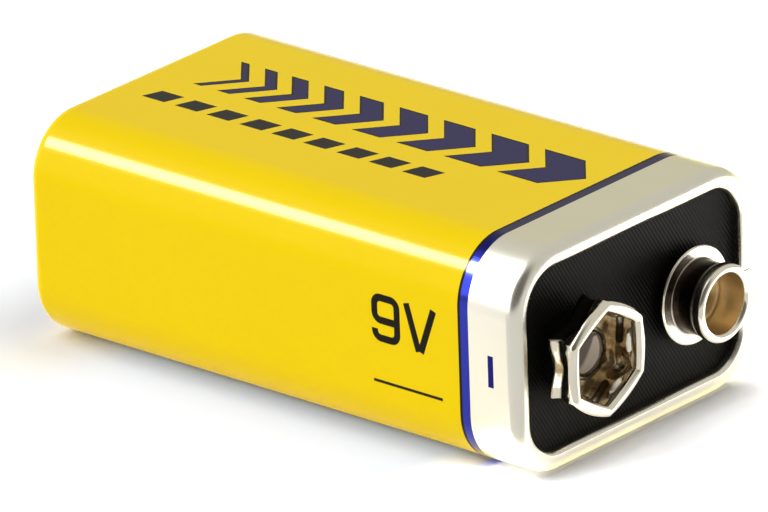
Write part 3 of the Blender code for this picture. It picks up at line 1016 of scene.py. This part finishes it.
@dataclass
class Boss:
    """A round boss moulded on the terminal board, with a rivet hole through both."""

    foot: Vector
    radius: float
    clearance: float = 0.05 * MM
    hole_radius: float = 1.3 * MM
    edge_radius: float = 0.1 * MM

    def mould_on(self, board: Piece, low: float, face: float) -> None:
        """Joins the boss to the board and cuts the hole.

        Args:
            board: The board.
            low: Where its back lies along X.
            face: Where its face lies.
        """
        top = self.foot.x - self.clearance
        boss = add_cylinder("boss", self.foot, self.radius, (low + face) / 2, top)
        with editing(boss):
            pick(boss, Pick.EDGE, lambda ends: all(abs(p.x - top) < NEAR for p in ends))
            bevel(self.edge_radius, segments=4)
        combine(board, boss, "UNION")
        combine(board, add_cylinder("hole", self.foot, self.hole_radius, low - MM, top + MM), "DIFFERENCE")


@dataclass
class Board:
    """A pressed board with rounded corners, and a boss under each terminal that it carries."""

    name: str
    node: str
    low: Vector
    high: Vector
    bosses: tuple[Boss, ...] = ()
    corner_radius: float = 4.05 * MM
    edge_radius: float = 0.08 * MM

    def build(self, finish: Material) -> Piece:
        """Models the board and dresses it.

        Args:
            finish: The board's material.

        Returns:
            The board.
        """
        piece = add_block(self.name, self.low, self.high, self.corner_radius, segments=16)
        thickness = self.high.x - self.low.x
        with editing(piece):
            pick(piece, Pick.EDGE, lambda ends: abs(ends[0].x - ends[1].x) < thickness / 2)
            bevel(self.edge_radius, segments=3)
        for boss in self.bosses:
            boss.mould_on(piece, self.low.x, self.high.x)
        polish(piece)
        fit(piece, Slot.FIBRE, finish, self.node)
        return piece


@dataclass
class Terminal:
    """A turned metal piece of a terminal, which stands on its foot along X."""

    name: ClassVar[str]
    node: ClassVar[str]
    slot: ClassVar[Slot] = Slot.NICKEL

    foot: Vector
    height: float

    def outline(self) -> list[Point]:
        """The section's closed outline, as radius and height above the foot."""
        raise NotImplementedError

    def plate(self) -> SnapPlate:
        """The piece's finish."""
        raise NotImplementedError

    def press(self, piece: Piece) -> None:
        """Leaves the piece as it was turned."""

    def build(self) -> Piece:
        """Models the piece and dresses it.

        Returns:
            The piece.
        """
        piece = turned(self.name, self.outline(), self.foot)
        self.press(piece)
        polish(piece)
        fit(piece, self.slot, self.plate().make(), self.node)
        return piece


@dataclass
class SnapStud(Terminal):
    """The round male snap: a rolled flange, a neck that flares to its head, and an open mouth."""

    name = "snap_stud"
    node = "positive_stud"

    hole_radius: float = 1.3 * MM
    flange_radius: float = 3.66 * MM
    neck_radius: float = 2.7 * MM
    neck_at: float = 0.45 * MM
    flare_at: float = 1.9 * MM
    flare_steps: int = 8
    head_radius: float = 2.88 * MM
    head_at: float = 2.35 * MM
    mouth_radius: float = 2.2 * MM
    wall: float = 0.3 * MM
    fillet: float = 0.35 * MM
    brass: Colour = (0.85, 0.7, 0.46)
    # Painted shade for the neck, standing in for the dark board that it reflects.
    painted_shade: Colour = (0.04, 0.027, 0.02)

    def outline(self) -> list[Point]:
        """The section from the rivet hole, out over the flange, up to the lip and down the bore.

        Returns:
            Pairs of radius and height.
        """
        roll = self.wall / 2
        lip = (self.head_radius - self.mouth_radius) / 2
        rise = self.neck_at - self.wall
        points = [(self.hole_radius, self.wall), (self.hole_radius, 0)]
        points += arc((self.flange_radius - roll, roll), roll, -90, 90)
        points += arc((self.neck_radius + rise, self.neck_at), rise, 270, 180, 5)
        for number in range(self.flare_steps + 1):
            share = number / self.flare_steps
            flare = (1 - math.cos(math.pi * share)) / 2
            radius = self.neck_radius + (self.head_radius - self.neck_radius) * flare
            points.append((radius, self.flare_at + (self.head_at - self.flare_at) * share))
        points += arc((self.mouth_radius + lip, self.height - lip), lip, 0, 180, 16)
        points += arc((self.mouth_radius - self.fillet, self.wall + self.fillet), self.fillet, 0, -90, 8)
        return points

    def plate(self) -> SnapPlate:
        """Bright plate, with brass showing in the bore and painted shade on the neck.

        Returns:
            The finish.
        """
        bore = Zone(
            tone=self.brass,
            rough=0.2,
            inner=-MM,
            outer=self.mouth_radius + 0.1 * MM,
            low=0,
            high=self.height - 0.3 * MM,
            streak=0.08,
        )
        # Painted shade on the neck, from the flange up to under the head.
        out = self.neck_radius - 0.1 * MM
        neck = Zone(
            tone=self.painted_shade,
            rough=0.1,
            inner=out,
            outer=out + 0.3 * MM,
            low=self.wall + 0.02 * MM,
            high=self.height - 0.25 * MM,
        )
        return SnapPlate("stud_plate", self.foot, zones=(bore, neck))


@dataclass
class Rivet(Terminal):
    """A rivet with a clinched end below the board."""

    shank_radius: float = 1.2 * MM
    bore_radius: float = 0.75 * MM
    head_radius: float = 1.95 * MM
    clinch_radius: float = 1.9 * MM
    clinch_thickness: float = 0.25 * MM

    def shank(self, under: float) -> list[Point]:
        """The section from the bore's foot, round the clinch and up to under the head."""
        clinch = [(self.bore_radius, 0), (self.clinch_radius, 0), (self.clinch_radius, self.clinch_thickness)]
        return clinch + [(self.shank_radius, self.clinch_thickness), (self.shank_radius, under)]


@dataclass
class Eyelet(Rivet):
    """The hollow brass rivet that holds the stud, with a rolled head."""

    name = "stud_eyelet"
    node = "positive_eyelet"
    slot = Slot.BRASS

    head_thickness: float = 0.25 * MM
    edge: float = 0.22 * MM
    brass: Colour = (0.75, 0.6, 0.38)
    # Painted shade for the eyelet's bore.
    dark: Colour = (0.03, 0.02, 0.015)

    def outline(self) -> list[Point]:
        """The section from the bore's foot, out round the head and back to the bore's mouth.

        Returns:
            Pairs of radius and height.
        """
        under = self.height - self.head_thickness
        roll = self.head_thickness / 2
        points = self.shank(under) + arc((self.head_radius - roll, under + roll), roll, -90, 90)
        points += arc((self.bore_radius + self.edge, self.height - self.edge), self.edge, 90, 180)
        return points

    def plate(self) -> SnapPlate:
        """Brass, with painted shade in the bore.

        Returns:
            The finish.
        """
        # Painted shade down the bore.
        mouth = self.bore_radius + 0.05 * MM
        hole = Zone(tone=self.dark, rough=0.3, inner=-MM, outer=mouth, low=-MM, high=self.height + MM)
        return SnapPlate("eyelet_brass", self.foot, self.brass, (hole,), gloss=0.16, dull=0.3)


@dataclass
class DomedRivet(Rivet):
    """The rivet that holds the socket: a domed head on a thin brim, and a shank hollow from below."""

    name = "socket_rivet"
    node = "negative_rivet"

    brim: float = 0.14 * MM
    setback: float = 0.224 * MM
    dome_height: float = 0.6 * MM
    dome_steps: int = 14
    crown: float = 0.25 * MM
    # Painted shade for the rivet, which sits deep in the socket.
    tarnish_and_painted_shade: Colour = (0.12, 0.1, 0.08)

    def outline(self) -> list[Point]:
        """The section from the hollow's top, round the clinch and the brim to the top of the dome.

        Returns:
            Pairs of radius and height.
        """
        under = self.height - self.dome_height
        points = [(0, under - self.crown), (self.bore_radius, under - self.crown), *self.shank(under)]
        points += arc((self.head_radius - self.brim / 2, under + self.brim / 2), self.brim / 2, -90, 90, 6)
        radius, rise = self.head_radius - self.setback, self.dome_height - self.brim
        for number in range(self.dome_steps + 1):
            turn = math.pi / 2 * number / self.dome_steps
            points.append((radius * math.cos(turn), under + self.brim + rise * math.sin(turn)))
        return points

    def plate(self) -> SnapPlate:
        """Plate darkened all over with painted shade, as it sits deep in the socket."""
        return SnapPlate("rivet_plate", self.foot, self.tarnish_and_painted_shade, gloss=0.08, dull=0.13)


@dataclass
class SnapSocket(Terminal):
    """The hexagonal female snap: a floor, six pressed panels and a rolled rim creased at its corners."""

    name = "snap_socket"
    node = "negative_socket"

    hole_radius: float = 1.3 * MM
    wall: float = 0.34 * MM
    rim_radius: float = 4.38 * MM
    waist_radius: float = 4.16 * MM
    rim_height: float = 0.95 * MM
    rim_width: float = 0.85 * MM
    rim_bulge: float = 0.5
    floor_radius: float = 2.05 * MM
    dent: float = 0.1
    flats: int = 6
    panel_steps: int = 12
    # Painted shade and painted reflection streaks for the socket's inside.
    tarnish_and_painted_shade: Colour = (0.48, 0.38, 0.25)
    # Painted deep shade for the outside of the panels and the foot.
    painted_shade: Colour = (0.006, 0.005, 0.004)

    def outline(self) -> list[Point]:
        """The section at a corner: the floor, the panel, the rolled rim and the inner wall.

        Returns:
            Pairs of radius and height.
        """
        roll = self.rim_width / 2
        edge = self.wall / 3
        rim_at = self.height - self.rim_height
        points = [(self.hole_radius, self.wall), (self.hole_radius, 0)]
        points += arc((self.rim_radius - edge, edge), edge, -90, 0, 5)
        points += self.panel(self.waist_radius, self.rim_radius, edge * 1.5, rim_at + edge)
        points += arc((self.rim_radius - roll, self.height - roll), roll, 0, 180, 16)
        inner = self.rim_radius - self.rim_width
        points += reversed(self.panel(self.waist_radius - self.wall, inner, self.wall, rim_at + self.wall))
        return points

    def panel(self, waist: float, end: float, low: float, high: float) -> list[Point]:
        """One side of a panel's wall, drawn in to its waist between two heights."""
        shares = [number / self.panel_steps for number in range(self.panel_steps + 1)]
        return [(waist + (end - waist) * math.cos(math.pi * s) ** 2, low + (high - low) * s) for s in shares]

    def press(self, piece: Piece) -> None:
        """Draws the round wall out to its corners and presses the panels in.

        Args:
            piece: The socket, still round.
        """
        sector = math.tau / self.flats
        outer = self.waist_radius - self.wall
        rim_at = self.height - self.rim_height
        mouth = self.rim_radius - self.rim_width
        for vert in piece.data.vertices:
            place = vert.co - self.foot
            radius = math.hypot(place.y, place.z)
            off_flat = math.atan2(place.y, place.z) % sector - sector / 2
            flat = math.cos(sector / 2) / math.cos(off_flat)
            above = min(max((place.x - rim_at) / (self.wall / 2), 0.0), 1.0)
            bulge = max((radius - mouth) / self.rim_width, 0.0)
            flat += (1 - flat) * self.rim_bulge * bulge * above
            flat -= self.dent * (1 - above) * math.cos(off_flat * self.flats / 2) ** 2
            amount = (radius - self.floor_radius) / (outer - self.floor_radius)
            factor = 1 + (flat - 1) * min(max(amount, 0.0), 1.0)
            vert.co.y = self.foot.y + place.y * factor
            vert.co.z = self.foot.z + place.z * factor

    def plate(self) -> SnapPlate:
        """Bright plate on the rim, with painted shade and painted reflection streaks inside and painted deep
        shade on the neck's upper half.

        Returns:
            The finish.
        """
        rim_at = self.height - self.rim_height
        # Painted shade inside the socket below the rim. Its strong streaks are painted reflections of the
        # panels.
        inside = Zone(
            tone=self.tarnish_and_painted_shade,
            rough=0.02,
            inner=-MM,
            outer=self.rim_radius - self.rim_width - 0.1 * MM,
            low=self.wall / 2,
            high=rim_at,
            streak=0.7,
        )
        # Painted shade on the upper half of the panels and the foot, below the rim.
        shaded = Zone(
            tone=self.painted_shade,
            rough=0.45,
            inner=self.floor_radius,
            outer=self.rim_radius + MM,
            low=-MM,
            high=rim_at - 0.15 * MM,
            level=self.rim_radius / 2,
        )
        return SnapPlate("socket_plate", self.foot, zones=(inside, shaded), gloss=0.09, dull=0.16)


@dataclass
class RatingNumerals:
    """The rating printed on the near narrow side, as strokes of ink."""

    side: float
    stroke: float = 0.56 * MM
    film: float = 0.016 * MM
    left: float = 8.335 * MM
    right: float = 10.39 * MM
    top: float = 11.525 * MM
    waist: float = 9.815 * MM
    bottom: float = 8.455 * MM
    tail: float = 9.11 * MM
    corner: float = 0.55 * MM
    cap_top: float = 11.69 * MM
    cap_bottom: float = 8.245 * MM
    vee_left: float = 11.285 * MM
    vee_right: float = 13.79 * MM
    vee_middle: float = 12.44 * MM
    vee_half: float = 0.1 * MM

    def build(self) -> Piece:
        """Models the strokes, joins them and dresses them.

        Returns:
            The numerals.
        """
        left_foot, right_foot = self.vee_middle - self.vee_half, self.vee_middle + self.vee_half
        strokes = [
            self.ink("nine", self.nine()),
            self.ink("vee_left", [(self.vee_left, self.cap_top), (left_foot, self.cap_bottom)]),
            self.ink("vee_right", [(self.vee_right, self.cap_top), (right_foot, self.cap_bottom)]),
        ]
        take(strokes[0])
        for stroke in strokes[1:]:
            stroke.select_set(True)
        bpy.ops.object.join()
        piece = bpy.context.active_object
        piece.name = "rating_numerals"
        fit(piece, Slot.TINPLATE, PrintingInk().make())
        return piece

    def nine(self) -> list[Point]:
        """The middle line of the first numeral, from its tail round to its waist.

        Returns:
            Pairs of X and Z.
        """
        low, high, turn = self.left + self.corner, self.right - self.corner, self.corner
        points = [(self.left, self.tail)]
        points += arc((low, self.bottom + turn), turn, 180, 270)
        points += arc((high, self.bottom + turn), turn, 270, 360)
        points += arc((high, self.top - turn), turn, 0, 90)
        points += arc((low, self.top - turn), turn, 90, 180)
        points += arc((low, self.waist + turn), turn, 180, 270)
        points.append((self.right, self.waist))
        return points

    def ink(self, name: str, line: list[Point]) -> Piece:
        """A flat stroke of ink along a line.

        Args:
            name: The stroke's name.
            line: Pairs of X and Z.

        Returns:
            The stroke, as a mesh on the battery's side.
        """
        piece = trace(name, [Vector((x, self.side, z)) for x, z in line], closed=False)
        take(piece)
        bpy.ops.object.convert(target="CURVE")
        piece = bpy.context.active_object
        piece.data.bevel_depth = self.stroke / 2
        piece.data.bevel_resolution = 4
        piece.data.use_fill_caps = True
        bpy.ops.object.convert(target="MESH")
        piece = bpy.context.active_object
        with editing(piece):
            bpy.ops.mesh.select_all(action="SELECT")
            bpy.ops.mesh.remove_doubles(threshold=MERGE)
            bpy.ops.mesh.normals_make_consistent(inside=False)
            bpy.ops.transform.resize(value=(1, self.film / self.stroke, 1), center_override=(0, self.side, 0))
        polish(piece, 60)
        return piece


@dataclass
class Stack:
    """What the jacket hides: cells, cards, sleeve, strips and tape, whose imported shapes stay."""

    stocks: tuple[InnerStock, ...] = (
        InnerStock(
            name="grey_card",
            nodes=("liner", "top_card"),
            colour=(0.42, 0.37, 0.29),
            stain=(0.3, 0.24, 0.17),
            roughness=0.85,
            grain=0.3,
            depth=0.01,
        ),
        InnerStock(
            name="grey_pad",
            nodes=("base_pad",),
            colour=(0.3, 0.3, 0.31),
            stain=(0.2, 0.2, 0.2),
            roughness=0.92,
            grain=0.4,
            depth=0.05,
        ),
        InnerStock(
            name="milky_film",
            nodes=("stack_sleeve", "cell_wrap"),
            colour=(0.72, 0.74, 0.73),
            stain=(0.6, 0.6, 0.56),
            roughness=0.3,
            grain=2.0,
            depth=0.005,
        ),
        InnerStock(
            name="creped_tape",
            nodes=("strap_tape",),
            colour=(0.68, 0.6, 0.42),
            stain=(0.5, 0.42, 0.27),
            roughness=0.7,
            grain=0.25,
            depth=0.02,
            stretch=(1, 1, 12),
        ),
        InnerStock(
            name="rolled_zinc",
            nodes=("zinc_plate",),
            colour=(0.42, 0.44, 0.46),
            stain=(0.2, 0.2, 0.2),
            roughness=0.5,
            grain=0.2,
            depth=0.004,
            metallic=1.0,
            stretch=(1, 14, 1),
        ),
        InnerStock(
            name="pasted_paper",
            nodes=("separator",),
            colour=(0.74, 0.7, 0.6),
            stain=(0.6, 0.54, 0.42),
            roughness=0.88,
            grain=0.25,
            depth=0.01,
        ),
        InnerStock(
            name="pressed_mix",
            nodes=("mix_cake",),
            colour=(0.02, 0.02, 0.022),
            stain=(0.05, 0.05, 0.05),
            roughness=0.88,
            grain=0.15,
            depth=0.03,
        ),
        InnerStock(
            name="tinned_steel",
            nodes=("positive_strip", "negative_strip"),
            colour=(0.62, 0.6, 0.53),
            stain=(0.4, 0.38, 0.33),
            roughness=0.33,
            grain=0.2,
            depth=0.003,
            metallic=1.0,
            stretch=(12, 12, 1),
        ),
    )

    def dress(self) -> list[str]:
        """Gives each hidden node its stock.

        Returns:
            The nodes' names.
        """
        dressed = []
        for stock in self.stocks:
            material = stock.make()
            for name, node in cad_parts.items():
                if name.startswith(stock.nodes):
                    for place in node.material_slots:
                        place.material = material
                    dressed.append(name)
        return dressed


@dataclass(frozen=True)
class PaleFloor:
    """A white floor that keeps the object's shadow, with painted shadow and light round the battery's foot
    and painted tones in its reflections.
    """

    lit: Colour = (0.88, 0.88, 0.88)
    # Painted shadow and light by distance from the foot: tones below 1 darken the floor next to it, tones
    # above 1 brighten it further out, and the cool tints even out the yellow that the side casts.
    side: Rings = (
        (0.7, (0.82, 1.1, 2.3)),
        (1.3, (0.75, 0.96, 1.85)),
        (1.9, (0.76, 0.92, 1.48)),
        (2.5, (0.8, 0.95, 1.42)),
        (3.5, (0.9, 1.03, 1.45)),
        (4.5, (0.96, 1.09, 1.49)),
        (8.0, (1.02, 1.12, 1.45)),
        (14.0, (1.25, 1.3, 1.4)),
    )
    base_end: Rings = ((1.0, (0.85, 0.88, 1.0)), (4.0, (0.9, 0.92, 1.0)), (12.0, (1.25, 1.3, 1.35)))
    terminal_end: Rings = ((0.5, (0.68, 0.69, 0.74)), (1.5, (1.5, 1.53, 1.65)), (3.0, (2.4, 2.45, 2.65)))
    base_from: Point = (-15 * MM, -24 * MM)
    terminals_from: Point = (12 * MM, 18 * MM)
    foot_middle: Point = (-1.5 * MM, 0.0 * MM)
    foot_half: Point = (22.2 * MM, 9.8 * MM)
    reach: float = 14.0
    # Painted reflection: the floor's tone in reflections, brighter beyond the terminal end and darker in
    # front, towards the camera.
    mirrored_side: Colour = (1.3, 1.3, 1.3)
    mirrored_end: Colour = (2.8, 2.8, 2.8)
    front: Colour = (0.85, 0.85, 0.84)
    front_way: Point = (0.75, -0.66)
    front_from: Point = (25 * MM, 29 * MM)

    def make(self) -> Material:
        """The floor's material: brighter to the camera and in reflections than it lights.

        Returns:
            The material.
        """
        graph = Graph("pale_floor")
        path = graph.node("LightPath")
        # Painted reflection tones, by place on the floor.
        forward = graph.along(graph.axes[:2], self.front_way)
        beyond = graph.ease(graph.axes[0], *self.terminals_from)
        mirrored = graph.blend(beyond, self.mirrored_side, self.mirrored_end)
        mirrored = graph.blend(graph.ease(forward, *self.front_from), mirrored, self.front)
        glossy = graph.either(path.outputs["Is Glossy Ray"], path.outputs["Is Transmission Ray"])
        colour = graph.blend(glossy, self.lit, mirrored)
        colour = graph.blend(path.outputs["Is Camera Ray"], colour, self.seen(graph))
        matt = graph.node("BsdfDiffuse", Color=graph.vary(colour, 0.005, graph.noise(60 * MM, detail=2)))
        graph.feed(graph.tree.nodes["Material Output"].inputs["Surface"], matt.outputs[0])
        return graph.material

    def seen(self, graph: Graph) -> Socket:
        """The floor's tone to the camera: white, with painted shadow at the battery's foot that deepens the
        real one and keeps it neutral.

        Args:
            graph: The floor's material.

        Returns:
            The tone, which evens out the yellow that the battery's side casts on the floor.
        """
        x = graph.axes[0]
        distance = graph.math("DIVIDE", self.from_foot(graph), self.reach * MM)
        side, base, terminals = (
            self.rings(graph, distance, stops) for stops in (self.side, self.base_end, self.terminal_end)
        )
        tone = graph.blend(graph.ease(x, *self.base_from), side, base)
        return graph.blend(graph.ease(x, *self.terminals_from), tone, terminals)

    def rings(self, graph: Graph, distance: Socket, stops: Rings) -> Socket:
        """The tone at a distance from the foot.

        Args:
            graph: The floor's material.
            distance: The distance as a share of the reach.
            stops: Distances in millimetres, with the tone at each.

        Returns:
            The tone's socket.
        """
        made = graph.node("ValToRGB", Fac=distance)
        ramp = made.color_ramp
        ramp.elements.remove(ramp.elements[1])
        ramp.elements[0].position = stops[0][0] / self.reach
        ramp.elements[0].color = (*stops[0][1], 1)
        for place, tone in stops[1:]:
            ramp.elements.new(place / self.reach).color = (*tone, 1)
        return made.outputs[0]

    def from_foot(self, graph: Graph) -> Socket:
        """How far a place on the floor is from the battery's foot.

        Args:
            graph: The floor's material.

        Returns:
            The distance.
        """
        beyond = []
        for place, middle, half in zip(graph.axes, self.foot_middle, self.foot_half):
            off = graph.math("ABSOLUTE", graph.math("SUBTRACT", place, middle))
            beyond.append(graph.math("MAXIMUM", graph.math("SUBTRACT", off, half), 0.0))
        return graph.length(*beyond)


@dataclass
class Studio:
    """The floor, the soft sky, one softbox and the camera."""

    middle: Vector
    floor_reach: float = 1.6
    dome_way: Way = (-0.42, -0.85, 0.32)
    dome_edge: Point = (0.44, 0.68)
    dome_light: Colour = (2.5, 2.5, 2.5)
    dusk: Colour = (0.67, 0.655, 0.595)
    shade_edge: Point = (0.55, 0.85)
    shade_tone: Colour = (0.15, 0.14, 0.13)
    softbox_way: Way = (-0.617, -0.48, 0.628)
    softbox_distance: float = 0.6
    softbox_size: float = 0.16
    softbox_power: float = 7.5
    azimuth: float = 41.334
    elevation: float = 22.193
    roll: float = 1.879
    distance: float = 986.256 * MM
    aim: Way = (5.273 * MM, -8.43 * MM, 12.238 * MM)
    focal_pixels: float = 14021.0

    def build(self) -> None:
        """Sets up everything that isn't part of the battery."""
        self.lay_floor()
        self.light_sky()
        self.hang_softbox()
        self.set_camera()
        bpy.context.scene.view_settings.view_transform = "Standard"

    def lay_floor(self) -> None:
        """A wide flat floor."""
        size = 2 * self.floor_reach
        floor = add("floor", bpy.ops.mesh.primitive_grid_add, x_subdivisions=8, y_subdivisions=8, size=size)
        floor.data.materials.append(PaleFloor().make())

    def light_sky(self) -> None:
        """A pale dome on the near left, dusk behind it, and the dark corner that the camera stands in."""
        world = bpy.data.worlds.new("soft_sky")
        world.use_nodes = True
        sky = Wires(world.node_tree)
        ways = sky.node("TexCoord").outputs["Generated"]
        tone: object = self.dusk
        for way, edge, colour in (
            (Vector(self.dome_way), self.dome_edge, self.dome_light),
            (self.backwards(), self.shade_edge, self.shade_tone),
        ):
            facing = sky.node("VectorMath")
            facing.operation = "DOT_PRODUCT"
            sky.feed(facing.inputs[0], ways)
            sky.feed(facing.inputs[1], way.normalized())
            tone = sky.blend(sky.ease(facing.outputs["Value"], *edge), tone, colour)
        sky.feed(sky.tree.nodes["Background"].inputs["Color"], tone)
        bpy.context.scene.world = world

    def hang_softbox(self) -> None:
        """The lamp that draws the long highlight on the near top edge."""
        way = Vector(self.softbox_way).normalized()
        light = bpy.data.lights.new("softbox", "AREA")
        light.shape = "DISK"
        light.size = self.softbox_size
        light.energy = self.softbox_power
        lamp = bpy.data.objects.new("softbox", light)
        lamp.location = self.middle + way * self.softbox_distance
        lamp.rotation_mode = "QUATERNION"
        lamp.rotation_quaternion = way.to_track_quat("Z", "Y")
        lamp.visible_diffuse = False
        bpy.context.scene.collection.objects.link(lamp)

    def backwards(self) -> Vector:
        """The way from the battery to the camera.

        Returns:
            A step of length 1.
        """
        azimuth, elevation = math.radians(self.azimuth), math.radians(self.elevation)
        level = math.cos(elevation)
        return Vector((math.sin(azimuth) * level, -math.cos(azimuth) * level, math.sin(elevation)))

    def set_camera(self) -> None:
        """The photograph's camera, solved from the battery's edges and terminals."""
        back = self.backwards()
        lens = bpy.data.cameras.new("camera")
        lens.sensor_width = SENSOR_WIDTH
        lens.lens = self.focal_pixels * SENSOR_WIDTH / IMAGE_WIDTH
        lens.clip_start = 0.05
        camera = bpy.data.objects.new("camera", lens)
        camera.location = Vector(self.aim) + back * self.distance
        camera.rotation_mode = "QUATERNION"
        upright = (-back).to_track_quat("-Z", "Y")
        camera.rotation_quaternion = upright @ Quaternion((0, 0, 1), -math.radians(self.roll))
        bpy.context.scene.collection.objects.link(camera)
        bpy.context.scene.camera = camera


def corners(node: str) -> tuple[Vector, Vector]:
    """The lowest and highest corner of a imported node."""
    low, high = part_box(node)
    return Vector(low), Vector(high)


def standing(node: str) -> tuple[Vector, float]:
    """Where a terminal piece stands.

    Args:
        node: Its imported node.

    Returns:
        Where its axis meets its foot, and its height along X.
    """
    low, high = corners(node)
    middle = (low + high) / 2
    return Vector((low.x, middle.y, middle.z)), high.x - low.x


def main() -> None:
    """Builds every piece in order."""
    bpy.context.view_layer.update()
    logging.basicConfig(level=logging.INFO, format="%(name)s: %(message)s")
    low, high = corners("jacket")
    pieces = [Jacket(low, high).build()]
    fibre = RibbedFibre().make()
    board_low, board_high = corners("terminal_board")
    board_high.x = board_low.x + BOARD_THICKNESS
    bosses = tuple(Boss(standing(node)[0], radius) for node, radius in BOSSES)
    pieces.append(Board("terminal_face", "terminal_board", board_low, board_high, bosses).build(fibre))
    pieces.append(Board("base_face", "base_board", *corners("base_board")).build(fibre))
    for kind in (SnapStud, Eyelet, SnapSocket, DomedRivet):
        pieces.append(kind(*standing(kind.node)).build())
    pieces.append(RatingNumerals(low.y).build())
    for piece in pieces:
        log.info("%s: %d faces", piece.name, len(piece.data.polygons))
    log.info("hidden pieces dressed: %d", len(Stack().dress()))
    Studio((low + high) / 2).build()


if __name__ == "__main__":
    main()
